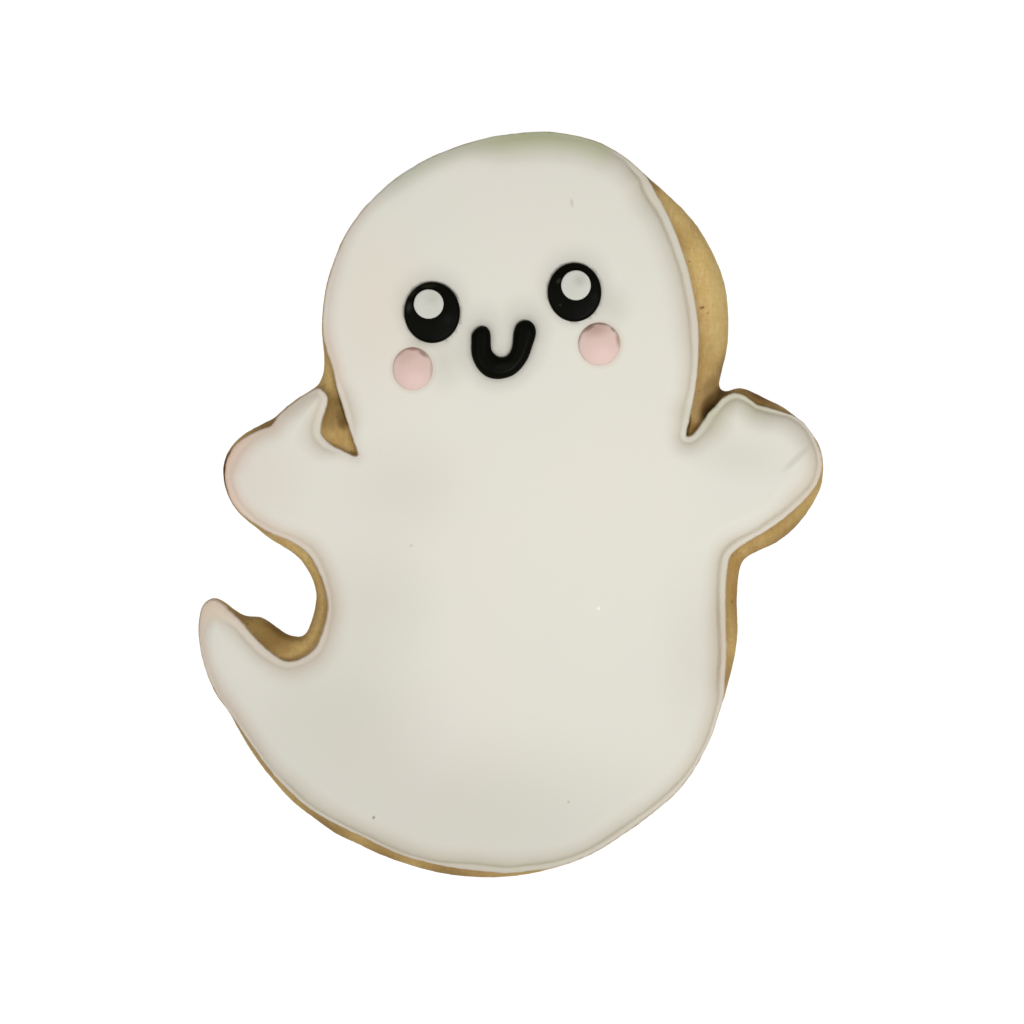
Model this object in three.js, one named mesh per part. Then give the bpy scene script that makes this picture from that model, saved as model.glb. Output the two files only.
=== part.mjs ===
// An iced sugar cookie: a ghost with raised arms and a curled tail, and a face of small iced pieces.
//
// Millimetres. The cookie lies with its face up: +Z comes up out of the face, +Y runs towards the
// crown and +X to the right, as seen from above. The origin is on the underside, below the middle
// of the outline's box. Left and right are those of someone who looks down on the face.
//
// Every piece is a stack of rings. A ring is a closed loop of points that follows an outline, each
// next ring lies inside or above the last, and bands of triangles join them. The biscuit and the
// sheet of icing share the triangles where they touch, so they neither overlap nor gape.

import * as THREE from 'three';

// ---- Driving dimensions --------------------------------------------------------------------

const HEIGHT = 100;              // lowest point of the belly to the crown
const BISCUIT_THICKNESS = 6.5;
const BAKED_SHOULDER = 2.4;      // radius of the biscuit's rounded upper edge
const UNDER_ICING_STEP = 1.2;    // width of each ring of the face that biscuit and icing share
const ICING_THICKNESS = 2.2;     // of the flat sheet, away from its edge
const FLUSH_RIM = 0.1;           // biscuit that shows where the icing runs out to its edge
const RING_SPACING = 1.9;        // between the points of a ring where it runs straight
const TURN_WORTH = 3;            // length that one radian of bend counts as, so bends get more points
const CROWN_SOFT_FROM = 32;      // the icing's lip fades out between these two heights on the face,
const CROWN_SOFT_TO = 43;        // where the sheet bends over the crown

// The biscuit's lower edge, from the flat underside outwards: depth in from the outline, height.
const BISCUIT_FOOT = [[0.9, 0], [0.25, 0.5], [0, 1.5]];

// Shares of the way from the biscuit's edge to the icing's edge at which the bare rim has a ring.
const BARE_RIM_SHARES = [0, 0.12, 0.35];

// The icing's edge: depth in from it, and height above the biscuit with a pressed lip and crease
// and, over the crown, without them.
const ICING_EDGE = [
  { depth: 0, lipped: 0.5, plain: 0.5 },
  { depth: 0.25, lipped: 0.85, plain: 0.95 },
  { depth: 0.7, lipped: 0.95, plain: 1.3 },
  { depth: 1.05, lipped: 0.75, plain: 1.5 },
  { depth: 1.5, lipped: 1.3, plain: 1.7 },
  { depth: 2.3, lipped: 1.85, plain: 2.0 },
  { depth: 3.6, lipped: ICING_THICKNESS, plain: ICING_THICKNESS },
];

// ---- The two outlines ----------------------------------------------------------------------

// Landmarks of the cutter's outline, which is the biscuit's edge, and of the icing's edge. They run
// counter-clockwise from the crown, in hundredths of HEIGHT from the middle of the face. The two
// edges of a stretch start opposite each other. A stretch with no icing landmarks is iced right
// out to the biscuit's edge.
const OUTLINE = [
  {
    stretch: 'head, left',
    biscuit: [[4.0, 49.9], [-5.4, 48.4], [-14.1, 44.5], [-21.1, 37.7], [-24.5, 29.7], [-25.2, 23.3]],
  },
  {
    stretch: 'left armpit, beside the head',
    biscuit: [[-24.9, 20.2], [-25.0, 17.6]],
    icing: [[-24.6, 20.6], [-23.8, 18.4], [-23.3, 15.8], [-22.3, 12.6], [-21.3, 9.3]],
  },
  {
    stretch: 'left armpit, beside the arm',
    biscuit: [[-25.5, 16.2], [-25.9, 15.7]],
    icing: [
      [-20.5, 6.5], [-22.2, 7.1], [-24.1, 8.1], [-25.2, 9.4],
      [-25.2, 10.8], [-24.6, 12.7], [-24.3, 14.1], [-24.8, 15.0],
    ],
  },
  {
    stretch: 'left arm, top',
    biscuit: [
      [-26.4, 15.4], [-28.5, 14.1], [-30.2, 12.8], [-31.6, 11.5], [-33.6, 10.5], [-35.6, 9.4], [-37.2, 7.8],
    ],
    icing: [
      [-25.6, 15.5], [-26.8, 15.0], [-28.5, 13.9], [-30.2, 12.6], [-31.3, 11.4],
      [-31.9, 10.5], [-33.3, 10.0], [-35.2, 9.1], [-36.7, 8.0],
    ],
  },
  {
    stretch: 'left hand',
    biscuit: [[-38.2, 5.9], [-38.4, 3.4], [-36.9, -0.5]],
    icing: [[-37.8, 5.8], [-38.2, 3.5], [-36.8, -0.4]],
  },
  {
    stretch: 'bay, under the left arm',
    biscuit: [[-32.7, -4.2], [-28.1, -7.4], [-26.0, -11.5], [-26.7, -16.0]],
    icing: [
      [-32.1, -3.9], [-29.6, -4.9], [-27.0, -6.7], [-25.6, -9.1],
      [-24.7, -11.6], [-24.4, -13.9], [-25.0, -16.7], [-26.4, -19.6],
    ],
  },
  {
    stretch: 'bay, along the tail',
    biscuit: [[-27.8, -17.8], [-30.0, -17.5], [-32.2, -15.9], [-33.7, -15.1], [-35.2, -15.1], [-36.6, -14.3]],
    icing: [[-29.6, -21.0], [-32.1, -19.7], [-34.4, -17.5], [-36.1, -15.5], [-37.2, -14.4]],
  },
  {
    stretch: 'tail',
    biscuit: [
      [-38.3, -13.1], [-39.7, -12.6], [-41.0, -13.3], [-41.7, -15.7],
      [-41.4, -20.2], [-39.6, -25.1], [-37.5, -28.1],
    ],
  },
  {
    stretch: 'belly, left',
    biscuit: [
      [-34.7, -33.0], [-28.8, -40.1], [-19.4, -46.0], [-14.2, -48.1],
      [-9.2, -49.4], [-3.4, -50.0], [1.6, -49.7],
    ],
    icing: [
      [-34.2, -32.8], [-31.0, -36.9], [-26.6, -40.9], [-21.3, -43.8], [-15.4, -46.4],
      [-12.3, -47.6], [-8.5, -48.5], [-3.8, -49.1], [0.9, -49.4],
    ],
  },
  {
    stretch: 'belly, right',
    biscuit: [[6.0, -48.7], [10.9, -46.9], [19.3, -41.2], [22.5, -38.4], [25.6, -33.9]],
  },
  {
    stretch: 'waist',
    biscuit: [[28.9, -24.9], [30.4, -17.8], [30.3, -12.8]],
    icing: [[28.4, -24.9], [28.9, -20.6], [28.8, -15.1], [28.9, -9.8]],
  },
  {
    stretch: 'right arm, underneath',
    biscuit: [[31.0, -7.7], [32.4, -6.6], [35.4, -5.3], [38.7, -2.5], [40.9, 0.8]],
    icing: [[29.4, -7.0], [30.7, -5.7], [33.6, -4.0], [36.6, -1.9], [39.4, 0.8], [40.7, 2.1]],
  },
  {
    stretch: 'right hand',
    biscuit: [[41.7, 2.7], [41.9, 5.2], [41.5, 7.5], [39.8, 10.2]],
    icing: [[41.3, 3.3], [41.8, 5.4], [41.4, 7.4], [39.7, 10.1]],
  },
  {
    stretch: 'right arm, top',
    biscuit: [[38.2, 11.7], [35.2, 13.5], [33.4, 14.5], [31.2, 15.5]],
    icing: [[37.9, 11.7], [36.8, 12.2], [34.5, 12.8], [33.2, 13.1], [32.3, 13.8], [31.2, 14.6]],
  },
  {
    stretch: 'right armpit, beside the arm',
    biscuit: [[30.1, 15.4], [28.6, 15.1]],
    icing: [[29.9, 14.9], [28.2, 14.1], [26.6, 12.5], [25.3, 10.4], [24.2, 9.2]],
  },
  {
    stretch: 'right armpit, beside the head',
    biscuit: [[27.9, 15.7], [28.2, 17.4]],
    icing: [[23.6, 9.1], [24.0, 11.4], [24.7, 15.0], [25.1, 18.2]],
  },
  {
    stretch: 'head, right',
    biscuit: [[29.1, 21.5], [28.8, 29.0], [27.2, 33.4], [24.6, 37.8]],
    icing: [[25.2, 21.3], [25.0, 25.4], [23.3, 33.0], [20.6, 39.6], [19.1, 42.2]],
  },
  {
    stretch: 'crown, right',
    biscuit: [[18.2, 44.0], [15.2, 46.6], [11.7, 48.5], [7.9, 49.5]],
  },
];

// ---- The face ------------------------------------------------------------------------------

// Rounded edges of the small pieces: depth in from the outline, height above what they rest on.
const EYE_EDGE = [[0, 0.5], [0.15, 0.8], [0.4, 1.0], [0.7, 1.1]];
const HIGHLIGHT_EDGE = [[0, 0.25], [0.2, 0.45], [0.6, 0.55]];
const CHEEK_EDGE = [[0, 0.2], [0.25, 0.45], [0.8, 0.6]];
const MOUTH_EDGE = [[0, 0.4], [0.3, 0.8], [0.75, 1.05], [1.1, 1.1]];

const FINISHES = {
  biscuit: { color: 0xb59a66, roughness: 0.85 },
  whiteIcing: { color: 0xe5e2d7, roughness: 0.55 },
  blackIcing: { color: 0x121210, roughness: 0.35 },
  highlight: { color: 0xcccbc0, roughness: 0.55 },
  pinkIcing: { color: 0xdec2b9, roughness: 0.55 },
};

// Ovals, in hundredths of HEIGHT from the middle of the face.
const EYES = [
  { side: 'left', centre: [-10.5, 25.6], size: [7.5, 8.2], highlight: [-11.0, 26.8] },
  { side: 'right', centre: [8.5, 28.3], size: [7.2, 7.9], highlight: [8.7, 29.2] },
];
const HIGHLIGHT_SIZE = [4.1, 4.1];
const OVAL_SIDES = 32;
const CHEEKS = [
  { side: 'left', centre: [-13.1, 18.1], size: [5.4, 5.8] },
  { side: 'right', centre: [11.8, 21.4], size: [5.7, 5.8] },
];

// The smile is one thick stroke: down the left arm, round the bend and up the right arm, which
// leans outwards and is a little wider.
const SMILE = {
  bendCentre: [-1.4, 20.8],
  bendRadius: 2.65,
  leftArm: 1.7,
  rightArm: 3.1,
  rightLean: THREE.MathUtils.degToRad(14),
  widthLeft: 2.6,
  widthRight: 2.9,
};

// ---- Rings ---------------------------------------------------------------------------------

const { lerp, smoothstep } = THREE.MathUtils;
const unit = HEIGHT / 100;
const toPoint = ([x, y]) => new THREE.Vector3(x * unit, y * unit, 0);

/** Unit vectors that point into a ring, one for each of its points. */
function inwardDirections(ring) {
  return ring.map((point, i) => {
    const ahead = ring[(i + 1) % ring.length];
    const behind = ring[(i - 1 + ring.length) % ring.length];
    return new THREE.Vector3(behind.y - ahead.y, ahead.x - behind.x, 0).normalize();
  });
}

/** Distance in plan from a point to the nearest side of a ring. */
function distanceToRing(point, ring) {
  const flat = new THREE.Vector3(point.x, point.y, 0);
  const nearest = new THREE.Vector3();
  const side = new THREE.Line3();
  let distance = Infinity;
  ring.forEach((start, i) => {
    side.set(start, ring[(i + 1) % ring.length]);
    side.closestPointToPoint(flat, true, nearest);
    distance = Math.min(distance, nearest.distanceTo(flat));
  });
  return distance;
}

/** Radius of the largest circle inside a ring that touches it at its point `i`. */
function roomAt(ring, i, inward) {
  const radii = ring.map((other) => {
    const across = other.clone().sub(ring[i]);
    const reach = across.dot(inward);
    return reach > 0 ? across.lengthSq() / (2 * reach) : Infinity;
  });
  return Math.min(...radii);
}

/**
 * Makes the function that draws a ring in by any depth up to `fullDepth`. Where the shape is too
 * narrow for that, as at the tip of the tail, every depth shrinks in step, so rings never cross.
 */
function insetter(ring, fullDepth) {
  const usableRoom = 0.85;
  const inward = inwardDirections(ring);
  const widest = ring.map((_, i) => Math.min(1, (usableRoom * roomAt(ring, i, inward[i])) / fullDepth));
  const shares = widest.map((share, i) => {
    const besides = (widest.at(i - 1) + widest[(i + 1) % ring.length]) / 2;
    return Math.min(share, besides);
  });
  return (depth) => ring.map((point, i) => point.clone().addScaledVector(inward[i], depth * shares[i]));
}

/** The ring raised to a height, or to a height worked out from each point and its index. */
function raised(ring, height) {
  const heightAt = typeof height === 'function' ? height : () => height;
  return ring.map((point, i) => new THREE.Vector3(point.x, point.y, heightAt(point, i)));
}

// ---- Triangles -----------------------------------------------------------------------------

/** The band of triangles between two rings, facing out or up. */
function band(lower, upper) {
  return lower.flatMap((point, i) => {
    const next = (i + 1) % lower.length;
    return [[point, lower[next], upper[next]], [point, upper[next], upper[i]]];
  });
}

/** The bands between all the rings of a stack, in order. */
function bands(rings) {
  return rings.slice(1).flatMap((ring, i) => band(rings[i], ring));
}

/** The triangles that fill a ring, facing up. */
function cap(ring) {
  return THREE.ShapeUtils.triangulateShape(ring, []).map((corners) => corners.map((i) => ring[i]));
}

/** The same triangles, facing the other way. */
function flipped(triangles) {
  return triangles.map(([a, b, c]) => [a, c, b]);
}

/** A named piece from the triangles of its closed surface. */
function piece(name, triangles, finish) {
  const geometry = new THREE.BufferGeometry().setFromPoints(triangles.flat());
  geometry.computeVertexNormals();
  const mesh = new THREE.Mesh(geometry, new THREE.MeshStandardMaterial({ ...finish, metalness: 0 }));
  mesh.name = name;
  return mesh;
}

// ---- Biscuit and icing ---------------------------------------------------------------------

/** The smooth closed curve through the landmarks, and its parameter where each stretch starts. */
function smoothEdge(landmarksByStretch) {
  const landmarks = landmarksByStretch.flat();
  const starts = [0];
  landmarksByStretch.forEach((stretch) => {
    starts.push(starts.at(-1) + stretch.length / landmarks.length);
  });
  return { curve: new THREE.CatmullRomCurve3(landmarks, true, 'centripetal'), starts };
}

/**
 * One stretch of an edge: its effort, which is its length plus what its bends are worth, and a
 * function that gives the point where a share of that effort is done.
 */
function walkStretch({ curve, starts }, index) {
  const traceSteps = 240;
  const trace = Array.from({ length: traceSteps + 1 }, (_, i) => {
    const at = lerp(starts[index], starts[index + 1], i / traceSteps);
    return { point: curve.getPoint(at), heading: curve.getTangent(at), effort: 0 };
  });
  trace.slice(1).forEach((here, i) => {
    const last = trace[i];
    const bend = here.heading.angleTo(last.heading);
    here.effort = last.effort + here.point.distanceTo(last.point) + TURN_WORTH * bend;
  });
  const { effort } = trace.at(-1);
  return { effort, pointAt: (share) => trace.find((step) => step.effort >= share * effort).point };
}

/** Rings along both edges, with as many points on each, so that equal indices lie opposite. */
function edgeRings() {
  const biscuitLandmarks = OUTLINE.map(({ biscuit }) => biscuit.map(toPoint));
  const biscuitDirections = inwardDirections(biscuitLandmarks.flat());
  const flushLandmarks = biscuitLandmarks.flat().map((point, i) => (
    point.clone().addScaledVector(biscuitDirections[i], FLUSH_RIM)
  ));
  const icingLandmarks = OUTLINE.map(({ icing }, i) => {
    const first = biscuitLandmarks.slice(0, i).flat().length;
    return icing?.map(toPoint) ?? flushLandmarks.slice(first, first + biscuitLandmarks[i].length);
  });
  const biscuitEdge = smoothEdge(biscuitLandmarks);
  const icingEdge = smoothEdge(icingLandmarks);
  const rings = { biscuit: [], icing: [] };
  OUTLINE.forEach((_, stretch) => {
    const walks = { biscuit: walkStretch(biscuitEdge, stretch), icing: walkStretch(icingEdge, stretch) };
    const count = Math.ceil(Math.max(walks.biscuit.effort, walks.icing.effort) / RING_SPACING);
    for (let i = 0; i < count; i += 1) {
      rings.biscuit.push(walks.biscuit.pointAt(i / count).clone());
      rings.icing.push(walks.icing.pointAt(i / count).clone());
    }
  });
  const middle = new THREE.Box3().setFromPoints(rings.biscuit).getCenter(new THREE.Vector3());
  [...rings.biscuit, ...rings.icing].forEach((point) => point.sub(middle));
  return rings;
}

/** Height of the biscuit's top, which is round near its edge and flat further in. */
function biscuitTop(point, biscuitRing) {
  const rise = Math.max(0, BAKED_SHOULDER - distanceToRing(point, biscuitRing));
  return BISCUIT_THICKNESS - BAKED_SHOULDER + Math.sqrt(BAKED_SHOULDER ** 2 - rise ** 2);
}

/** Biscuit and icing, which share the face between them. */
function biscuitAndIcing() {
  const rings = edgeRings();
  const onBiscuit = (point) => biscuitTop(point, rings.biscuit);

  const insetUnderIcing = insetter(rings.icing, 2 * UNDER_ICING_STEP);
  const icedRings = [
    raised(rings.icing, onBiscuit),
    raised(insetUnderIcing(UNDER_ICING_STEP), onBiscuit),
    raised(insetUnderIcing(2 * UNDER_ICING_STEP), BISCUIT_THICKNESS),
  ];
  const sharedFace = [...bands(icedRings), ...cap(icedRings.at(-1))];

  const insetBiscuit = insetter(rings.biscuit, BISCUIT_FOOT[0][0]);
  const footRings = BISCUIT_FOOT.map(([depth, height]) => raised(insetBiscuit(depth), height));
  const rimRings = BARE_RIM_SHARES.map((share) => {
    const between = rings.biscuit.map((point, i) => point.clone().lerp(rings.icing[i], share));
    return raised(between, onBiscuit);
  });
  const biscuit = [
    ...flipped(cap(footRings[0])),
    ...bands([...footRings, ...rimRings, icedRings[0]]),
    ...sharedFace,
  ];

  const insetIcing = insetter(rings.icing, ICING_EDGE.at(-1).depth);
  const edgeRows = ICING_EDGE.slice(0, -1).map(({ depth, lipped, plain }) => (
    raised(insetIcing(depth), (point) => {
      const softness = smoothstep(point.y, CROWN_SOFT_FROM * unit, CROWN_SOFT_TO * unit);
      return onBiscuit(point) + lerp(lipped, plain, softness);
    })
  ));
  const sheetRing = raised(insetIcing(ICING_EDGE.at(-1).depth), BISCUIT_THICKNESS + ICING_THICKNESS);
  const icing = [
    ...flipped(sharedFace),
    ...bands([icedRings[0], ...edgeRows, sheetRing]),
    ...cap(sheetRing),
  ];
  return { biscuit, icing };
}

// ---- Small pieces --------------------------------------------------------------------------

/** A piece with a flat foot and a rounded edge, standing at a height. */
function buttonOn(height, ring, edge) {
  const inset = insetter(ring, edge.at(-1)[0]);
  const foot = raised(ring, height);
  const edgeRows = edge.map(([depth, rise]) => raised(inset(depth), height + rise));
  return [...flipped(cap(foot)), ...bands([foot, ...edgeRows]), ...cap(edgeRows.at(-1))];
}

/** An oval ring. */
function oval(centre, [width, height]) {
  const middle = toPoint(centre);
  const curve = new THREE.EllipseCurve(middle.x, middle.y, (width * unit) / 2, (height * unit) / 2);
  return curve.getPoints(OVAL_SIDES).slice(0, -1).map(({ x, y }) => new THREE.Vector3(x, y, 0));
}

/** The ring round the smile, which is a stroke with round ends. */
function smileRing() {
  const steps = 22;
  const endSteps = 8;
  const { x, y } = toPoint(SMILE.bendCentre);
  const radius = SMILE.bendRadius * unit;
  const line = new THREE.Path();
  line.moveTo(x - radius, y + SMILE.leftArm * unit);
  line.lineTo(x - radius, y);
  line.absarc(x, y, radius, Math.PI, 2 * Math.PI - SMILE.rightLean);
  line.lineTo(
    line.currentPoint.x + SMILE.rightArm * unit * Math.sin(SMILE.rightLean),
    line.currentPoint.y + SMILE.rightArm * unit * Math.cos(SMILE.rightLean),
  );
  const spine = Array.from({ length: steps + 1 }, (_, i) => {
    const along = line.getTangentAt(i / steps);
    return {
      at: line.getPointAt(i / steps),
      heading: Math.atan2(along.y, along.x),
      reach: (lerp(SMILE.widthLeft, SMILE.widthRight, i / steps) * unit) / 2,
    };
  });
  const beside = ({ at, heading, reach }, turn) => new THREE.Vector3(
    at.x + reach * Math.cos(heading + turn),
    at.y + reach * Math.sin(heading + turn),
    0,
  );
  const roundEnd = (end, firstTurn) => Array.from({ length: endSteps - 1 }, (_, i) => (
    beside(end, firstTurn + (Math.PI * (i + 1)) / endSteps)
  ));
  return [
    ...spine.map((station) => beside(station, -Math.PI / 2)),
    ...roundEnd(spine.at(-1), -Math.PI / 2),
    ...spine.toReversed().map((station) => beside(station, Math.PI / 2)),
    ...roundEnd(spine[0], Math.PI / 2),
  ];
}

// ---- The cookie ----------------------------------------------------------------------------

const faceHeight = BISCUIT_THICKNESS + ICING_THICKNESS;
const eyeTop = faceHeight + EYE_EDGE.at(-1)[1];
const { biscuit, icing } = biscuitAndIcing();

const cookie = new THREE.Group();
cookie.add(piece('biscuit', biscuit, FINISHES.biscuit));
cookie.add(piece('white_icing', icing, FINISHES.whiteIcing));

for (const { side, centre, size, highlight } of EYES) {
  const eye = buttonOn(faceHeight, oval(centre, size), EYE_EDGE);
  const dot = buttonOn(eyeTop, oval(highlight, HIGHLIGHT_SIZE), HIGHLIGHT_EDGE);
  cookie.add(piece(`${side}_eye`, eye, FINISHES.blackIcing));
  cookie.add(piece(`${side}_eye_highlight`, dot, FINISHES.highlight));
}

for (const { side, centre, size } of CHEEKS) {
  const cheek = buttonOn(faceHeight, oval(centre, size), CHEEK_EDGE);
  cookie.add(piece(`${side}_cheek`, cheek, FINISHES.pinkIcing));
}

const mouth = buttonOn(faceHeight, smileRing(), MOUTH_EDGE);
cookie.add(piece('mouth', mouth, FINISHES.blackIcing));

export default cookie;
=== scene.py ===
# %% [markdown]
# # An iced sugar cookie, ghost-shaped
#
# This lesson dresses a cookie that lies with its iced face up. The plain solids already exist: a
# biscuit, a sheet of white icing, and the small black, white and pink pieces of the face. They
# give every size and place, and this file gives every surface its real form and finish.
#
# All lengths are in metres, so a millimetre is named once and used everywhere. +Z comes up out of
# the face and +Y runs towards the crown of the head.

# %% Load the solids
import math

import bpy
import numpy as np
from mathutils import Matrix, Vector, noise
from mathutils.kdtree import KDTree


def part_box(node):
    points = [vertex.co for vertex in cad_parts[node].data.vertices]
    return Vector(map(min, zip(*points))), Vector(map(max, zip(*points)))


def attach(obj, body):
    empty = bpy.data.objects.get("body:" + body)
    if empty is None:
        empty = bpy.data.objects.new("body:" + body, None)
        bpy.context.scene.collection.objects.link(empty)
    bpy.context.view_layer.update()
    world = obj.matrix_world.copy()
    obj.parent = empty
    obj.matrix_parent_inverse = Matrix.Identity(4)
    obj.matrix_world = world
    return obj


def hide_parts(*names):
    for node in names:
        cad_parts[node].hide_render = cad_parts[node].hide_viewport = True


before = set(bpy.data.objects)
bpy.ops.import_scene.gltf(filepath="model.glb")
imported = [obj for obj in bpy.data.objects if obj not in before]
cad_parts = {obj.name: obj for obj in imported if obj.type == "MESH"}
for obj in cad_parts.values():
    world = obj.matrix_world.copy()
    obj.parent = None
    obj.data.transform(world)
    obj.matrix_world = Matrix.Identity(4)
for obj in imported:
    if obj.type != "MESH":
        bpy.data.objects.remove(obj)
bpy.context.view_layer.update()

MM = 0.001
print("solids:", sorted(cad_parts))

# %% [markdown]
# ## Camera
#
# The cookie is looked at from straight above. A long lens stands far away, so the raised icing
# and the biscuit's lower edge keep almost the same scale, as they do for an eye at a distance.
# A short lens would lean the outer walls outwards and show the sides of the biscuit.

# %% Place the camera
VIEW_WIDTH = 136.9 * MM          # width of the ground that the square frame takes in
VIEW_CENTRE = (0.16 * MM, -1.02 * MM)
SHARP_HEIGHT = 6.5 * MM          # height at which VIEW_WIDTH is measured

camera_data = bpy.data.cameras.new("camera")
camera_data.lens = 350
camera_data.sensor_width = 36
camera = bpy.data.objects.new("camera", camera_data)
bpy.context.scene.collection.objects.link(camera)
bpy.context.scene.camera = camera
camera_distance = VIEW_WIDTH * camera_data.lens / camera_data.sensor_width
camera.location = (*VIEW_CENTRE, SHARP_HEIGHT + camera_distance)
camera_data.clip_start, camera_data.clip_end = camera_distance * 0.01, camera_distance * 10
print("camera stands", round(camera_distance, 3), "m above the cookie")

# %% [markdown]
# ## Helpers for modelling
#
# An operator acts on whatever is selected, as a click in the window would. These few helpers
# clear the selection first, pick faces by their place or by the way they face, and read or write
# the whole list of points at once, which is quicker than one point at a time.

# %% Select, edit and apply


def select_only(piece):
    """Leave edit mode, deselect everything and make one piece active."""
    if bpy.context.object and bpy.context.object.mode != "OBJECT":
        bpy.ops.object.mode_set(mode="OBJECT")
    bpy.ops.object.select_all(action="DESELECT")
    piece.select_set(True)
    bpy.context.view_layer.objects.active = piece


def edit_faces(piece, wanted):
    """Enter edit mode with just those faces selected that `wanted` says yes to."""
    select_only(piece)
    bpy.ops.object.mode_set(mode="EDIT")
    bpy.ops.mesh.select_mode(type="FACE")
    bpy.ops.mesh.select_all(action="DESELECT")
    bpy.ops.object.mode_set(mode="OBJECT")
    for face in piece.data.polygons:
        face.select = bool(wanted(face))
    bpy.ops.object.mode_set(mode="EDIT")


def edit_all(piece):
    """Enter edit mode with everything selected."""
    select_only(piece)
    bpy.ops.object.mode_set(mode="EDIT")
    bpy.ops.mesh.select_all(action="SELECT")


def leave_edit():
    """Go back to object mode, which writes the edits into the mesh."""
    bpy.ops.object.mode_set(mode="OBJECT")


def apply_modifiers(piece):
    """Apply every modifier of a piece, from the top down."""
    select_only(piece)
    for name in [modifier.name for modifier in piece.modifiers]:
        bpy.ops.object.modifier_apply(modifier=name)


# %% Read and write points
SAME_POINT = 0.001 * MM          # corners nearer than this are one point


def points_of(piece):
    """The points of a piece as rows of x, y, z."""
    flat = np.empty(len(piece.data.vertices) * 3)
    piece.data.vertices.foreach_get("co", flat)
    return flat.reshape(-1, 3)


def move_points(piece, points):
    """Give every point of a piece its new place."""
    piece.data.vertices.foreach_set("co", np.ascontiguousarray(points, dtype=np.float32).ravel())
    piece.data.update()


def keep_on_points(piece, name, values):
    """Store one number on each point, for materials to read."""
    attribute = piece.data.attributes.new(name, "FLOAT", "POINT")
    attribute.data.foreach_set("value", np.asarray(values, dtype=np.float32))


def merged_copy(node, name):
    """A copy of a solid with its loose triangles joined where their corners meet."""
    copy = bpy.data.objects.new(name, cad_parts[node].data.copy())
    bpy.context.scene.collection.objects.link(copy)
    edit_all(copy)
    bpy.ops.mesh.remove_doubles(threshold=SAME_POINT)
    leave_edit()
    print(name, "starts with", len(copy.data.polygons), "faces")
    return copy


# %% [markdown]
# ## Outlines and depth
#
# A rolled sheet that was cut with a cutter has one form all the way round its edge, so it helps
# to know, for any point, how far in from the edge it lies. The edge is walked point by point,
# laid out as a dense string of beads, and a search tree finds the nearest bead.

# %% Measure depth in from an outline
BEAD_SPACING = 0.05 * MM
BEADS_AHEAD = 4                  # the edge's direction is taken over this many beads each way


def ordered_ring(points, pairs):
    """Walk from edge to edge round a closed ring and give its points in order."""
    partners = {}
    for a, b in pairs:
        partners.setdefault(a, []).append(b)
        partners.setdefault(b, []).append(a)
    ring = [next(iter(partners))]
    last = None
    while True:
        onward = [other for other in partners[ring[-1]] if other != last]
        last = ring[-1]
        if onward[0] == ring[0] or len(ring) > len(partners):
            return points[ring]
        ring.append(onward[0])


def beads_along(ring, spacing):
    """Points at an even spacing along a closed ring."""
    closed = np.vstack([ring, ring[:1]])[:, :2]
    run = np.concatenate([[0], np.cumsum(np.linalg.norm(np.diff(closed, axis=0), axis=1))])
    stations = np.arange(0, run[-1], spacing)
    return np.column_stack([np.interp(stations, run, closed[:, axis]) for axis in (0, 1)])


def search_tree(places):
    """A tree that finds which of many places is nearest, as seen from above."""
    tree = KDTree(len(places))
    for index, place in enumerate(places):
        tree.insert((place[0], place[1], 0), index)
    tree.balance()
    return tree


class Outline:
    """An edge seen from above, which tells how deep inside it a point lies."""

    def __init__(self, ring):
        self.beads = beads_along(ring, BEAD_SPACING)
        self.tree = search_tree(self.beads)
        ahead = np.roll(self.beads, -BEADS_AHEAD, axis=0) - np.roll(self.beads, BEADS_AHEAD, axis=0)
        swept = self.beads[:, 0] @ ahead[:, 1] - self.beads[:, 1] @ ahead[:, 0]
        inward = np.column_stack([-ahead[:, 1], ahead[:, 0]]) * np.sign(swept)
        self.inward = inward / np.linalg.norm(inward, axis=1, keepdims=True)

    def nearest(self, points):
        """Distance to the edge, and which bead is nearest, for every point."""
        found = [self.tree.find((x, y, 0)) for x, y in points[:, :2]]
        return np.array([hit[2] for hit in found]), np.array([hit[1] for hit in found])


# %% Find the two outlines
LEVEL_WITHIN = 0.01 * MM         # heights closer than this are one
UPRIGHT = 0.3                    # a face stands upright if its normal rises or falls by less
FOOT_HEIGHT = 1.5 * MM           # the biscuit's wall stands upright from here


def ring_at_height(piece, height):
    """The points of the level ring that a piece has at a height."""
    points = points_of(piece)
    level = np.abs(points[:, 2] - height) < LEVEL_WITHIN
    pairs = [edge.vertices[:] for edge in piece.data.edges if all(level[i] for i in edge.vertices)]
    return ordered_ring(points, pairs)


def rim_edges(piece):
    """The edges where a piece's wall meets the face that it lies on."""
    faces_of = {}
    for face in piece.data.polygons:
        for key in face.edge_keys:
            faces_of.setdefault(key, []).append(face.normal.z)
    return [key for key, up in faces_of.items() if min(up) < -UPRIGHT and abs(max(up)) < UPRIGHT]


biscuit = merged_copy("biscuit", "baked_biscuit")
icing = merged_copy("white_icing", "icing_sheet")
BISCUIT_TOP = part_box("biscuit")[1].z
ICING_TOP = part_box("white_icing")[1].z
biscuit_outline = Outline(ring_at_height(biscuit, FOOT_HEIGHT))
icing_outline = Outline(ordered_ring(points_of(icing), rim_edges(icing)))
for name, outline in (("biscuit", biscuit_outline), ("icing", icing_outline)):
    print(name, "edge is", round(len(outline.beads) * BEAD_SPACING / MM), "mm long")

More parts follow.
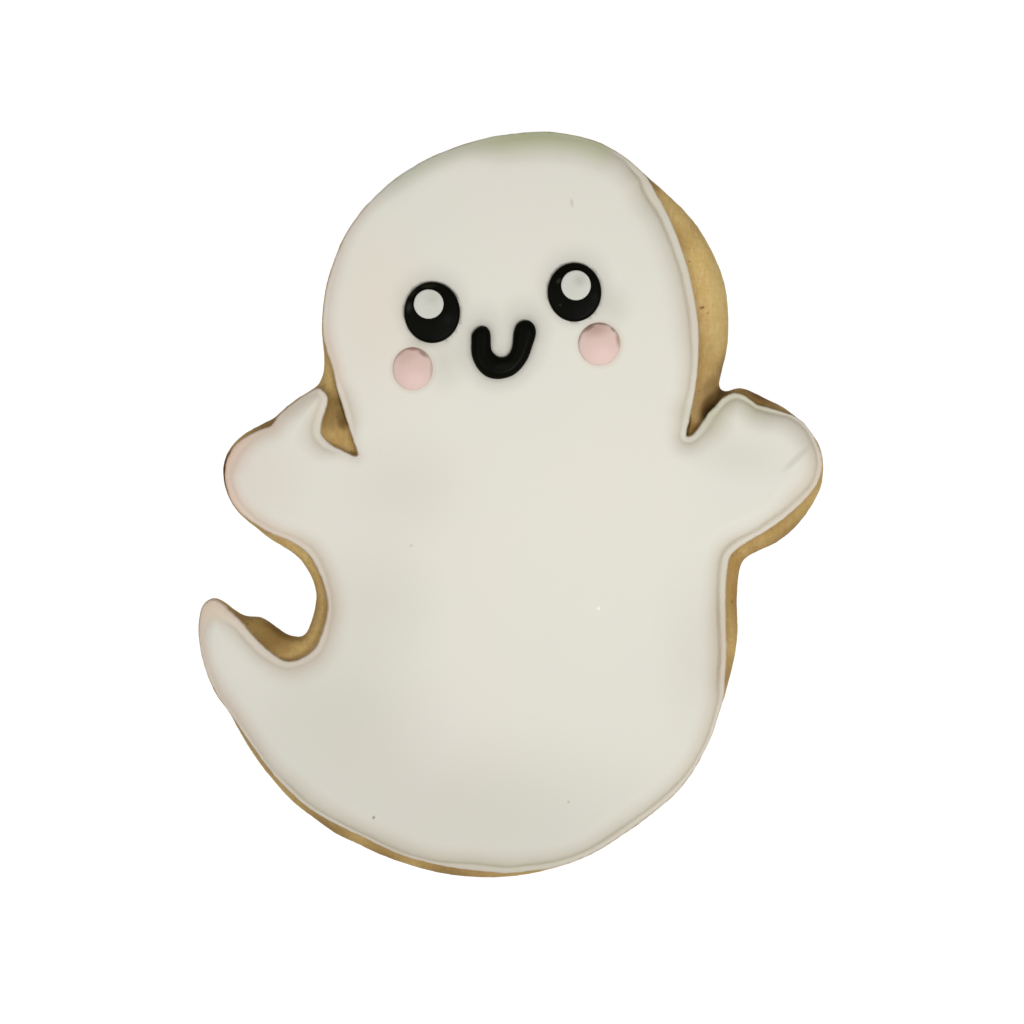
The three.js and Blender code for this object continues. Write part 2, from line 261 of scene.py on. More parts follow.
# %% [markdown]
# ## The sheet of icing
#
# The icing is a soft sheet about two millimetres thick, smoothed down over the biscuit. Its cut
# edge was pressed flat with a fingertip, which leaves a low lip, a fine crease inside it, and a
# pillowy shoulder up to the flat top. Over the crown the sheet simply bends away.
#
# A cloth or sculpting tool could find such a form, but here it is much the same all round, so it can
# be written down as height against depth. The solid's copy is first cut into a grid across its flat
# top, because one huge face can't carry soft dents, and then subdivided twice.

# %% Cut a grid across the flat top
GRID = 2.4 * MM
LIES_FLAT = 0.99                 # a face lies flat if its normal rises by more


def cut_flat_top(piece, top, spacing):
    """Dissolve the flat top to one face and slice it into a grid along X and Y."""
    def on_top(face):
        return face.normal.z > LIES_FLAT and abs(face.center.z - top) < LEVEL_WITHIN

    edit_faces(piece, on_top)
    bpy.ops.mesh.dissolve_faces()
    leave_edit()
    low, high = points_of(piece).min(axis=0), points_of(piece).max(axis=0)
    for axis, direction in ((0, (1, 0, 0)), (1, (0, 1, 0))):
        for place in np.arange(low[axis] + spacing / 2, high[axis], spacing):
            edit_faces(piece, on_top)
            cut_at = Vector(direction) * place
            bpy.ops.mesh.bisect(plane_co=cut_at, plane_no=direction)
            leave_edit()


cut_flat_top(icing, ICING_TOP, GRID)
edit_all(icing)
bpy.ops.mesh.tris_convert_to_quads(face_threshold=math.radians(60), shape_threshold=math.radians(180))
leave_edit()
print("icing has", len(icing.data.polygons), "faces after the grid")

# %% Subdivide the sheet


def subdivide_smoothly(piece, levels):
    """Split every face in four, as many times as there are levels, and round the result."""
    rounding = piece.modifiers.new("rounding", "SUBSURF")
    rounding.levels = rounding.render_levels = levels
    rounding.use_limit_surface = False
    apply_modifiers(piece)


def crease_edges(piece, keys):
    """Hold these edges sharp while the rest is smoothed."""
    wanted = {tuple(sorted(key)) for key in keys}
    creases = piece.data.attributes.new("crease_edge", "FLOAT", "EDGE")
    for index, edge in enumerate(piece.data.edges):
        creases.data[index].value = float(tuple(sorted(edge.vertices)) in wanted)


crease_edges(icing, rim_edges(icing))
subdivide_smoothly(icing, 2)
print("icing has", len(icing.data.polygons), "faces after subdivision")

# %% [markdown]
# The edge isn't quite the same everywhere. Stations round the outline say how wide the lip is and
# how high the cut edge, how deep and how wide its crease, how far in the shoulder reaches, and how
# it is shaded and stained. Each point of the edge blends the stations near it. A slow wander is
# added, because no hand presses evenly.

# %% Describe the edge at stations round the outline
# Place, then lip width, edge height, crease depth, crease width and shoulder width, all in mm, then
# greyness of the shoulder's painted shade, and the painted edge tint of reflection and shade,
# which is green below 0 and pink above.
EDGE_STATIONS = {
    "crown": (4, 50, 0.7, 0.30, 0.00, 0.4, 4.4, 0.66, -1.35),
    "crown, left": (-12, 46, 0.7, 1.20, 0.00, 0.4, 2.2, 0.20, -0.5),
    "head, upper left": (-21, 37, 0.7, 1.80, 0.00, 0.4, 1.2, 0.00, 0.6),
    "head, left": (-25, 28, 0.7, 1.70, 0.02, 0.3, 1.9, 0.00, 0.6),
    "head, lower left": (-24, 18, 0.5, 1.60, 0.03, 0.3, 2.0, 0.10, 1.2),
    "left armpit": (-21, 7.5, 0.4, 1.80, 0.00, 0.3, 1.2, 0.00, 0.4),
    "left arm, inside": (-25, 10, 1.2, 1.45, 0.08, 0.4, 2.8, 0.80, 0.3),
    "left arm, tip of the fold": (-24.6, 14, 1.0, 1.40, 0.07, 0.4, 2.4, 0.60, 0.4),
    "left arm, by the fold": (-27.5, 14.3, 0.6, 1.30, 0.00, 0.4, 2.8, 0.60, 0.7),
    "left arm, top": (-32, 10, 0.6, 1.40, 0.00, 0.4, 2.4, 0.20, 1.1),
    "left hand, top": (-37, 7, 1.2, 1.60, 0.05, 0.4, 2.6, 0.10, 1.8),
    "left hand": (-38.5, 3, 0.9, 1.70, 0.06, 0.3, 1.8, 0.10, 1.8),
    "left arm, underneath": (-32, -4, 0.6, 1.30, 0.05, 0.3, 2.4, 0.40, 0.9),
    "bay, top": (-26, -7, 0.9, 1.35, 0.06, 0.4, 2.6, 0.70, 0.6),
    "bay": (-24.5, -13, 0.6, 1.35, 0.05, 0.4, 2.8, 0.60, 0.9),
    "bay, bottom": (-27, -20, 0.9, 1.40, 0.04, 0.4, 3.0, 0.45, 0.7),
    "tail, inside": (-34, -18, 1.15, 1.40, 0.08, 0.4, 2.4, 0.60, 0.6),
    "tail tip": (-40, -13, 2.0, 1.70, 0.05, 0.7, 2.6, 0.30, 1.2),
    "tail, outside": (-41, -19, 0.7, 1.50, 0.00, 0.4, 1.5, 0.30, 0.9),
    "tail, outside, low": (-38, -28, 0.5, 0.90, 0.04, 0.3, 2.6, 0.40, 0.7),
    "belly, upper left": (-33, -34, 0.4, 1.00, 0.06, 0.2, 2.6, 0.55, 0.4),
    "belly, left": (-28, -40, 0.5, 1.10, 0.15, 0.25, 3.0, 0.85, 0.2),
    "belly, low left": (-16, -46, 0.4, 1.00, 0.14, 0.3, 2.8, 1.00, 0.3),
    "belly, bottom": (0, -49, 0.95, 1.20, 0.14, 0.22, 3.0, 1.10, 0.2),
    "belly, low right": (12, -46, 0.8, 1.30, 0.14, 0.25, 2.6, 0.95, 0.3),
    "belly, right": (20, -41, 0.8, 1.35, 0.16, 0.22, 2.6, 0.80, 0.3),
    "belly, upper right": (26, -32, 0.5, 1.40, 0.14, 0.2, 2.6, 0.75, 0.4),
    "waist": (29, -18, 0.95, 1.40, 0.22, 0.24, 3.2, 1.10, 0.7),
    "waist, top": (28.5, -8, 1.1, 1.40, 0.18, 0.25, 2.8, 0.95, 0.3),
    "right arm, underneath": (34, -4, 0.9, 1.40, 0.16, 0.25, 2.2, 0.70, 0.3),
    "right hand": (41.5, 4, 0.75, 1.30, 0.12, 0.2, 3.0, 0.80, 0.8),
    "right hand, top": (37, 11, 0.45, 0.90, 0.12, 0.35, 3.2, 0.90, 0.2),
    "right arm, top": (33, 13, 0.55, 0.85, 0.14, 0.38, 3.4, 1.20, -0.4),
    "right arm, fold": (29, 14, 0.9, 1.20, 0.10, 0.4, 3.4, 1.15, -0.4),
    "right armpit": (26.5, 12, 1.2, 1.25, 0.06, 0.5, 3.6, 1.20, -0.5),
    "right armpit, tip": (23.5, 9, 0.9, 1.40, 0.06, 0.3, 2.6, 0.90, 0.1),
    "head, low right": (24.5, 16, 0.95, 1.45, 0.12, 0.2, 2.8, 0.80, 0.4),
    "head, right": (25, 26, 1.15, 1.45, 0.17, 0.25, 3.4, 0.95, 0.4),
    "head, upper right": (22, 36, 1.15, 1.40, 0.22, 0.2, 3.4, 1.00, 0.1),
    "crown, right": (18, 42, 1.35, 1.25, 0.22, 0.3, 3.6, 1.00, 0.3),
    "crown, end of the crease": (16.8, 44.5, 0.9, 1.00, 0.15, 0.3, 3.6, 1.00, 0.3),
    "crown, past the crease": (15, 46.3, 0.5, 0.80, 0.08, 0.3, 3.8, 1.00, 0.0),
    "crown, further right": (12, 48, 0.5, 0.35, 0.00, 0.3, 4.3, 0.68, -1.2),
}
print("stations:", len(EDGE_STATIONS))

# %% Blend the stations round the edge
BLEND_SOFTNESS = 1.5             # mm added to each distance, so that no station rules alone
BLEND_POWER = 4                  # how fast a far station loses its pull
# Each wander: the share by which a value changes, over how many mm, and the seed of the pattern.
LIP_WANDERS = ((0.08, 4.0, 3.0), (0.05, 0.9, 4.0))
CREASE_WANDERS = ((0.30, 5.0, 7.0),)


def wander(places, size, seed):
    """Smooth values from -1 to 1 that change over about `size` mm."""
    scaled = places[:, :2] / (size * MM)
    return np.array([noise.noise(Vector((x, y, seed))) for x, y in scaled])


def wandering(places, wanders):
    """Factors near 1, one for each place."""
    return sum((share * wander(places, size, seed) for share, size, seed in wanders), 1)


def edge_form(beads):
    """The stations' values, blended for each bead of the outline."""
    stations = np.array(list(EDGE_STATIONS.values()))
    apart = np.linalg.norm(beads[:, None, :] / MM - stations[None, :, :2], axis=2)
    pull = 1 / (apart + BLEND_SOFTNESS) ** BLEND_POWER
    pull /= pull.sum(axis=1, keepdims=True)
    form = (pull @ stations[:, 2:]).T
    lip, _, crease = form[:3]
    lip *= wandering(beads, LIP_WANDERS)
    crease *= wandering(beads, CREASE_WANDERS)
    return form


form_of_beads = edge_form(icing_outline.beads)
print("lip is", form_of_beads[0].min().round(2), "to", form_of_beads[0].max().round(2), "mm wide")

# %% Work out the height of the icing
BAKED_SHOULDER = 2.4             # mm, radius of the biscuit's rounded upper edge
CUT_FOOT = 0.35                  # mm, height at which the icing's cut edge starts to round over
CUT_CORNER = 0.20                # mm, how far in the rounding of the cut edge reaches
CLEAR_CREASE = 0.20              # mm, crease depth from which the lip lies flat
SHOULDER_ROUNDNESS = 2.0
SHOULDER_SAG = 0.20              # how far the icing follows the biscuit down where it is flush
icing_thickness = (ICING_TOP - BISCUIT_TOP) / MM


def biscuit_drop(depth):
    """How far the biscuit's rounded upper edge has fallen below its flat top, in mm."""
    fall = np.clip(BAKED_SHOULDER - depth, 0, BAKED_SHOULDER)
    return BAKED_SHOULDER - np.sqrt(BAKED_SHOULDER**2 - fall**2)


def ease(share):
    """A share from 0 to 1 that starts and stops gently."""
    share = np.clip(share, 0, 1)
    return share * share * (3 - 2 * share)


def pillow(share):
    """A rise from 0 to 1 that is steep at first and ends level."""
    return 1 - (1 - np.clip(share, 0, 1)) ** SHOULDER_ROUNDNESS


def icing_height(depth, lip, edge_height, crease, crease_width, shoulder):
    """Height of the icing above the biscuit at a depth in from its edge, all in mm."""
    corner = np.clip(depth / CUT_CORNER, 0, 1)
    edge = CUT_FOOT + (edge_height - CUT_FOOT) * np.sqrt(1 - (1 - corner) ** 2)
    plain = pillow(depth / (lip + shoulder))
    lipped = pillow((depth - lip) / shoulder)
    rise = plain + (lipped - plain) * np.clip(crease / CLEAR_CREASE, 0, 1)
    groove = crease * np.exp(-(((depth - lip) / crease_width) ** 2))
    return edge + (icing_thickness - edge_height) * rise - groove


# %% Push an edge out or in
EDGE_DEPTH = 2.0                 # mm, how far in from an edge a push or a tremble is felt
# Where the cut edge was pushed outwards or, below 0, inwards: place, reach and push in mm.
ICING_PUSHES = {
    "right of the belly": (27.4, -29.6, 6.5, 0.30),
    "waist, low": (28.3, -25.8, 3.4, 0.24),
    "crown, left of the top": (-2.2, 49.2, 3.5, 0.13),
    "right hand, top": (38.9, 10.5, 3.6, 0.22),
    "belly, low left": (-15.5, -46.8, 4.5, 0.18),
    "belly, bottom": (2.5, -49.0, 3.5, -0.18),
    "right arm, underneath": (38.6, 0.0, 3.5, 0.13),
    "right arm, top": (34.1, 13.2, 1.8, 0.14),
    "right armpit": (27.2, 13.0, 1.6, -0.18),
    "tail tip, inside": (-38.0, -13.6, 2.5, -0.16),
    "left hand": (-37.9, 6.0, 2.5, 0.12),
}


def nearness(places, place, reach, ragged=1.0):
    """1 at a place in mm, falling gently to 0 at its reach."""
    away = np.linalg.norm(places[:, :2] / MM - place, axis=1) * ragged
    return 1 - ease(away / reach)


def pushed_outwards(places, outline, depth, bead, pushes):
    """Offsets along X and Y that push an edge outwards where the table says, fading inwards."""
    push = np.zeros(len(places))
    for x, y, reach, amount in pushes.values():
        push += amount * nearness(places, (x, y), reach)
    push *= (1 - ease(depth / EDGE_DEPTH)) * MM
    return -outline.inward[bead] * push[:, None]


print("edge pushed in", len(ICING_PUSHES), "places")

# %% Shape the sheet and keep what the material needs
TOP_UNDULATION = 0.05            # mm, slow rise and fall of the flat top
UNDULATION_SIZE = 14             # mm
UNDULATION_DEPTH = 6             # mm in from the edge, where the undulation is full
EDGE_TREMBLE = 0.07              # mm, small waves of the cut edge, seen from above
TREMBLE_SIZE = 0.8               # mm
TREMBLE_SEEDS = (11.0, 12.0)     # for the waves along X and along Y
STILL_HEIGHT = 0.4               # mm above the biscuit, up to which the cut edge keeps its height
# The painted edge tint is painted reflection and shade; only a share of it reaches the upright cut edge.
WALL_EDGE_TINT = 0.3                 # share of the stain that reaches the upright cut edge
LIP_SHADE = 0.65                 # share of the shoulder's greyness that the lip has
FULL_SHADE = 0.6                 # share of the lip's width, past which it darkens to the full
SHADE_FALLOFF, EDGE_TINT_FALLOFF = 1.6, 1.5  # how fast each fades inwards


def shape_icing(piece):
    """Give the sheet its height and its edge, and tell how far past the crease each point is."""
    points = points_of(piece)
    depth, bead = icing_outline.nearest(points)
    depth = depth / MM
    drop = biscuit_drop(biscuit_outline.nearest(points)[0] / MM)
    form = form_of_beads[:, bead]
    lip, edge_height, crease, crease_width, shoulder, grey, edge_tint = form
    upper = points[:, 2] > BISCUIT_TOP + (STILL_HEIGHT - drop) * MM
    height = icing_height(depth, *form[:5]) - SHOULDER_SAG * drop
    height += TOP_UNDULATION * wander(points, UNDULATION_SIZE, 1.0) * ease(depth / UNDULATION_DEPTH)
    points[upper, 2] = np.minimum(BISCUIT_TOP + height * MM, ICING_TOP)[upper]
    near_edge = (1 - ease(depth / EDGE_DEPTH)) * EDGE_TREMBLE * MM
    tremble = [wander(points, TREMBLE_SIZE, seed) for seed in TREMBLE_SEEDS]
    pushed = pushed_outwards(points, icing_outline, depth, bead, ICING_PUSHES)
    points[:, :2] += near_edge[:, None] * np.column_stack(tremble) + pushed
    move_points(piece, points)
    inward = np.clip((depth - lip) / shoulder, 0, 1)
    keep_on_points(piece, "crease", crease)
    keep_on_points(piece, "off_crease", (depth - lip) / crease_width)
    # Painted shade of the shoulder, strongest just past the crease and lighter on the lip.
    past_lip = LIP_SHADE + (1 - LIP_SHADE) * ease((depth / lip - FULL_SHADE) / (1 - FULL_SHADE))
    keep_on_points(piece, "shoulder_shade", grey * past_lip * (1 - inward) ** SHADE_FALLOFF)
    # Painted edge tint of reflection and shade, fading inwards from the edge.
    on_face = np.where(upper, 1.0, WALL_EDGE_TINT)
    edge_tint_share = (1 - ease(depth / (lip + shoulder))) ** EDGE_TINT_FALLOFF
    keep_on_points(piece, "painted_edge_tint", on_face * edge_tint * edge_tint_share)
    return depth - lip


past_crease = shape_icing(icing)
print("icing is at most", round(past_crease.max(), 1), "mm past its crease")

# %% [markdown]
# Where two shoulders meet, as in the narrow tail, the formula leaves a sharp ridge. A Smooth
# modifier rounds it. It moves points only up and down, and a vertex group keeps it off the lip.

# %% Round the ridges
SMOOTHING_PASSES = 14
SMOOTH_FROM, SMOOTH_OVER = 0.4, 1.6     # mm past the crease, and mm over which it grows to the full

soft = icing.vertex_groups.new(name="past_the_crease")
for index, weight in enumerate(ease((past_crease - SMOOTH_FROM) / SMOOTH_OVER)):
    if weight > 0:
        soft.add([index], weight, "REPLACE")
rounding = icing.modifiers.new("soft_ridges", "SMOOTH")
rounding.factor = 0.5
rounding.iterations = SMOOTHING_PASSES
rounding.use_x = rounding.use_y = False
rounding.vertex_group = soft.name
apply_modifiers(icing)
print("rounded the ridges in", SMOOTHING_PASSES, "passes")

# %% [markdown]
# ## The biscuit
#
# Baked dough keeps the cutter's outline but its surface is never smooth: it is a dry crumb with
# fine grains, shallow waves and a few burst bubbles. The copy is remeshed into small even cells, so
# that it can carry relief everywhere, and displaced by two soft noises, a coarse and a fine one.
#
# Last, the wall is tucked in a little right of the belly, where the soft sheet bulges over the edge,
# a few places are pushed out or in, and the underside is pressed flat again, as it was by the
# baking sheet.

# %% Remesh the biscuit and give it a crumb
CRUMB_CELL = 0.42 * MM
# Each relief: the size of its waves and how far they stand out, in mm.
RELIEFS = {"waves": (4.0, 0.14), "crumb": (0.9, 0.10)}
RELIEF_MIDDLE = 0.38             # shade of the noise that leaves the surface where it is

select_only(biscuit)
remesh = biscuit.modifiers.new("even_cells", "REMESH")
remesh.mode = "VOXEL"
remesh.voxel_size = CRUMB_CELL
remesh.use_smooth_shade = True
smoothing = biscuit.modifiers.new("smoothing", "SMOOTH")
smoothing.factor = 0.5
smoothing.iterations = 8
for name, (size, strength) in RELIEFS.items():
    texture = bpy.data.textures.new(name, "CLOUDS")
    texture.noise_scale = size * MM
    texture.noise_depth = 2
    relief = biscuit.modifiers.new(name, "DISPLACE")
    relief.texture = texture
    relief.texture_coords = "LOCAL"
    relief.strength = strength * MM
    relief.mid_level = RELIEF_MIDDLE
apply_modifiers(biscuit)
print("biscuit has", len(biscuit.data.polygons), "faces")

# %% Tuck, push and press the biscuit
DEEPEST_TUCK = 0.18              # mm, how far the wall is tucked in where the icing bulges over it
TUCKED_PLACE = (27.5, -27)       # mm, right of the belly
TUCKED_REACH = 12                # mm
TUCKED_DEPTH = 0.8               # mm in from the edge, where the tuck has faded out
BARE_MARGIN = 0.35               # mm of bare biscuit beside the icing, from which nothing is tucked
BISCUIT_PUSHES = {
    "belly, low left": (-23.3, -44.0, 4.2, 0.22),
    "right hand, top": (36.2, 13.0, 2.8, 0.15),
    "tail, inside": (-36.9, -14.3, 3.2, -0.18),
    "notch above the right arm": (28.5, 15.0, 1.6, -0.14),
}


def shape_biscuit(piece):
    """Shape the wall and the underside; give the points, their depth and their gap to the icing."""
    points = points_of(piece)
    depth, bead = biscuit_outline.nearest(points)
    depth = depth / MM
    gap = icing_outline.nearest(points)[0] / MM
    margin = icing_outline.nearest(biscuit_outline.beads)[0][bead] / MM
    tuck = (1 - ease(margin / BARE_MARGIN)) * (1 - ease(depth / TUCKED_DEPTH))
    tuck *= nearness(points, TUCKED_PLACE, TUCKED_REACH) * DEEPEST_TUCK * MM
    pushed = pushed_outwards(points, biscuit_outline, depth, bead, BISCUIT_PUSHES)
    points[:, :2] += biscuit_outline.inward[bead] * tuck[:, None] + pushed
    points[:, 2] = np.maximum(points[:, 2], 0)
    move_points(piece, points)
    return points, depth, gap


biscuit_points, biscuit_depth, gap_to_icing = shape_biscuit(biscuit)
print("biscuit pushed in", len(BISCUIT_PUSHES), "places")

# %% [markdown]
# The oven doesn't brown it evenly, and thin rims take more colour. The sheltered corners, the armpits
# and the hook of the tail, are darkened in the same way as painted shade. So the places that are
# toasted or shaded most are listed, and each point keeps how toasted or shaded it is, how near it is
# to the outer edge, and how near to the icing.

# %% Toast the biscuit, and paint shade into its corners
# Place in mm, reach in mm, and strength from 0 to 1. The armpits, the hook of the tail and the rims
# that face the crown are darkened here as painted shade; the rest is toast.
TOAST_AND_SHADE_PLACES = {
    "left armpit": (-23.4, 12.6, 5.5, 0.80),
    "left armpit, beside the head": (-23.3, 13.6, 2.3, 0.95),
    "left armpit, lower": (-22.5, 11.0, 2.3, 1.0),
    "left armpit, tip": (-22.3, 8.8, 4.0, 0.45),
    "left arm, top": (-32, 10.5, 5.0, 0.58),
    "left hand": (-38.3, 4.5, 5.0, 1.0),
    "right armpit": (26.6, 12.6, 3.0, 1.0),
    "right armpit, upper": (28.4, 14.8, 2.6, 0.8),
    "head, beside the right arm": (28.6, 18.2, 4.5, 0.66),
    "head, upper right": (23.5, 35.6, 3.5, 0.28),
    "right armpit, tip": (24.7, 10.2, 2.2, 1.0),
    "right arm, top": (33, 14.0, 5.0, 0.82),
    "right hand, top": (38, 11, 4.0, 0.6),
    "right arm, underneath": (37, -4, 9.0, 0.52),
    "right arm, where it joins": (32.5, -5.8, 3.5, 0.46),
    "head, low right": (27, 18, 9.0, 0.45),
    "tail hook": (-31.5, -17.6, 6.0, 0.70),
    "tail hook, outer": (-36, -15, 4.0, 0.55),
    "waist": (29.8, -13, 10.0, 0.40),
    "waist, upper": (30, -7, 5.0, 0.42),
    "waist, lower": (29.2, -22.5, 4.5, 0.38),
    "belly, bottom": (-8, -49, 9.0, 0.55),
    "belly, low left": (-17, -47, 7.0, 0.50),
    "bay wall": (-27, -14, 5.0, 0.25),
    "belly, lower left": (-25, -44, 8.0, 0.55),
}
BORDER_WANDERS = ((0.25, 1.6, 5.0),)


def toast_and_shade_at(places):
    """How browned or painted with shade each place is, from 0 to 1, with ragged borders."""
    browned = np.zeros(len(places))
    ragged = wandering(places, BORDER_WANDERS)
    for x, y, reach, strength in TOAST_AND_SHADE_PLACES.values():
        browned = np.maximum(browned, strength * nearness(places, (x, y), reach, ragged))
    return browned


keep_on_points(biscuit, "toast_and_shade", toast_and_shade_at(biscuit_points))
keep_on_points(biscuit, "rim_depth", biscuit_depth)
keep_on_points(biscuit, "icing_gap", gap_to_icing)
print("toasted in", len(TOAST_AND_SHADE_PLACES), "places")

# %% [markdown]
# ## The pieces of the face
#
# Each small piece is a pat of icing: a flat foot, a soft rounded edge and a slightly domed top.
# A cylinder is only the start. Its rim is bevelled, and its top face is inset ring by ring and
# lifted, so the dome rises without a hard step. The dots shrink a little as they dry, and the smile
# is a roll laid by hand, so it is copied from its solid and squeezed a little in places.

# %% Model a pat of icing
RINGED_SHARE = 0.85              # share of the top's half width that the rings cover
# For each kind of pat: the end of its name, and the rounding of its edge and its dome in mm.
PAT_FORMS = {
    "eye": ("eye_pat", 0.55, 0.25),
    "eye_highlight": ("highlight_pat", 0.22, 0.10),
    "cheek": ("cheek_pat", 0.45, 0.26),
}


def pat(name, node, edge, dome, rings=4, sides=64):
    """An oval pat with a rounded edge and a domed top, in the place of a solid."""
    low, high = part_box(node)
    middle, size = (low + high) / 2, high - low
    height = size.z - dome
    bpy.ops.object.select_all(action="DESELECT")
    bpy.ops.mesh.primitive_cylinder_add(
        vertices=sides, radius=0.5, depth=1, location=(middle.x, middle.y, low.z + height / 2)
    )
    piece = bpy.context.object
    piece.name = piece.data.name = name
    piece.scale = (size.x, size.y, height)
    bpy.ops.object.transform_apply(location=True, rotation=False, scale=True)
    top = low.z + height
    edit_faces(piece, lambda face: face.normal.z > LIES_FLAT)
    bpy.ops.mesh.bevel(offset=edge, segments=5, profile=0.5, affect="EDGES")
    leave_edit()
    reach = min(size.x, size.y) / 2 - edge
    edit_faces(piece, lambda face: face.normal.z > LIES_FLAT and face.center.z > top - LEVEL_WITHIN)
    for step in range(rings):
        rise = dome * (math.sin((step + 1) / rings * math.pi / 2) - math.sin(step / rings * math.pi / 2))
        bpy.ops.mesh.inset(thickness=reach * RINGED_SHARE / rings, depth=rise)
    leave_edit()
    subdivide_smoothly(piece, 1)
    return piece


face_pieces = {}
for side in ("left", "right"):
    for kind, (ending, edge, dome) in PAT_FORMS.items():
        node = f"{side}_{kind}"
        face_pieces[node] = pat(f"{side}_{ending}", node, edge * MM, dome * MM)
print("pats:", list(face_pieces))

# %% Let the dots dry
# Shift along X and Y in mm, and the shares of the width and the height that stay.
DRIED_DOTS = {
    "left": (0.05, -0.09, 0.970, 0.955),
    "right": (-0.01, 0.01, 0.965, 0.975),
}
for side, (right, up, wide, tall) in DRIED_DOTS.items():
    piece = face_pieces[f"{side}_eye_highlight"]
    points = points_of(piece)
    middle = ((points.min(axis=0) + points.max(axis=0)) / 2)[:2]
    points[:, :2] = middle + (points[:, :2] - middle) * (wide, tall) + np.array((right, up)) * MM
    move_points(piece, points)
print("dried dots:", list(DRIED_DOTS))

# %% Soften and squeeze the smile
# Each squeeze: place, reach and the move along X and Y, in mm.
SQUEEZES = {
    "left stroke": (-4.1, 21.8, 4.0, 0.11, 0.0),
    "left end, outside": (-5.3, 23.7, 1.5, 0.12, -0.12),
    "left end, inside": (-3.2, 23.6, 1.3, 0.06, 0.10),
    "lower left, outside": (-3.1, 17.0, 3.2, -0.08, -0.19),
    "lower left, inside": (-2.2, 19.9, 2.0, 0.12, 0.20),
    "right stroke, inside": (-0.15, 21.1, 2.0, 0.22, -0.04),
    "lower right, outside": (1.7, 18.5, 3.0, -0.14, 0.12),
    "right stroke, outside": (3.1, 22.2, 1.5, 0.08, 0.0),
}
smile = merged_copy("mouth", "smile_roll")
subdivide_smoothly(smile, 2)
smile_points = points_of(smile)
moves = np.zeros((len(smile_points), 2))
for x, y, reach, right, up in SQUEEZES.values():
    moves += np.outer(nearness(smile_points, (x, y), reach), (right, up)) * MM
smile_points[:, :2] += moves
move_points(smile, smile_points)
face_pieces["mouth"] = smile
for piece in [icing, biscuit, *face_pieces.values()]:
    select_only(piece)
    bpy.ops.object.shade_smooth()
print("face:", {name: len(piece.data.polygons) for name, piece in face_pieces.items()})

# %% [markdown]
# ## Painted shadow beside the face
#
# A soft grey painted shadow lies on the white icing round the black pieces, widest above. Each point
# of the icing keeps its distance to the nearest black piece, and the material fades the painted
# shadow out with that distance. Distances above a piece are counted shorter, which widens the
# painted shadow there.

# %% Measure how near the icing is to the black pieces
SHADOW_LEAN = 0.3                 # share by which a distance straight above a piece is shortened
SHADOW_SEARCH = 8 * MM            # points farther from a piece aren't measured
FAR_AWAY = 50.0                  # mm, what they keep instead
FOOT_SLICE = 0.05 * MM           # a piece's foot is its points up to this far above the lowest


def shadow_gap(places, pieces):
    """Distance in mm from each place to the nearest of the pieces, negative underneath one."""
    gap = np.full(len(places), FAR_AWAY)
    for piece in pieces:
        foot = points_of(piece)
        foot = foot[foot[:, 2] < foot[:, 2].min() + FOOT_SLICE]
        tree = search_tree(foot)
        low, high = foot.min(axis=0) - SHADOW_SEARCH, foot.max(axis=0) + SHADOW_SEARCH
        inside_box = np.all((places[:, :2] > low[:2]) & (places[:, :2] < high[:2]), axis=1)
        for index in np.flatnonzero(inside_box):
            x, y = places[index, :2]
            nearest, _, away = tree.find((x, y, 0))
            lift = (y - nearest.y) / away if away else 0.0
            under = piece.ray_cast((x, y, 0), (0, 0, 1))[0]
            away = away / MM * (-1 if under else 1 - SHADOW_LEAN * lift)
            gap[index] = min(gap[index], away)
    return gap


black_pieces = [face_pieces["left_eye"], face_pieces["right_eye"], face_pieces["mouth"]]
face_gap = shadow_gap(points_of(icing), black_pieces)
keep_on_points(icing, "face_gap", face_gap)
print("points of icing under black pieces:", int((face_gap < 0).sum()))

# %% [markdown]
# ## Materials
#
# Every finish is a Principled shader fed by procedural patterns. A few small helpers keep the node
# trees readable: the first adds a node and fills or links its inputs, and the others use it to mix
# or tint a colour, to do a sum, to fade a value and to read what a piece keeps on its points.

# %% Helpers for node trees


def add(tree, kind, inputs=(), **settings):
    """Add a shader node, set its options, and fill or link its inputs."""
    made = tree.nodes.new("ShaderNode" + kind)
    for name, value in settings.items():
        setattr(made, name, value)
    for socket, value in dict(inputs).items():
        if isinstance(value, bpy.types.NodeSocket):
            tree.links.new(value, made.inputs[socket])
        else:
            made.inputs[socket].default_value = value
    return made


def mixed(tree, factor, first, second, blend="MIX"):
    """Mix two colours and give the resulting socket."""
    mix = add(tree, "Mix", {0: factor, 6: first, 7: second}, data_type="RGBA", blend_type=blend)
    return mix.outputs[2]


def tinted(tree, color, tint):
    """A colour with its red, green and blue light multiplied by a tint."""
    return mixed(tree, 1.0, color, (*tint, 1), "MULTIPLY")


def math_of(tree, operation, *values):
    """One math node, given as its output."""
    return add(tree, "Math", dict(enumerate(values)), operation=operation).outputs[0]


def times(tree, first, second):
    """The product of two masks or numbers."""
    return math_of(tree, "MULTIPLY", first, second)


def faded(tree, value, start, end, low=1.0, high=0.0):
    """Fade smoothly from `low` to `high` as a value goes from start to end."""
    limits = {"Value": value, "From Min": start, "From Max": end, "To Min": low, "To Max": high}
    return add(tree, "MapRange", limits, interpolation_type="SMOOTHSTEP").outputs["Result"]


def kept(tree, name):
    """The number that a piece keeps on its points under a name."""
    return add(tree, "Attribute", attribute_name=name).outputs["Fac"]


def linear(red, green, blue):
    """A colour as it looks on a screen, 0 to 255, as the light it stands for."""
    light = [((c / 255 + 0.055) / 1.055) ** 2.4 if c > 10.3 else c / 255 / 12.92 for c in (red, green, blue)]
    return (*light, 1.0)


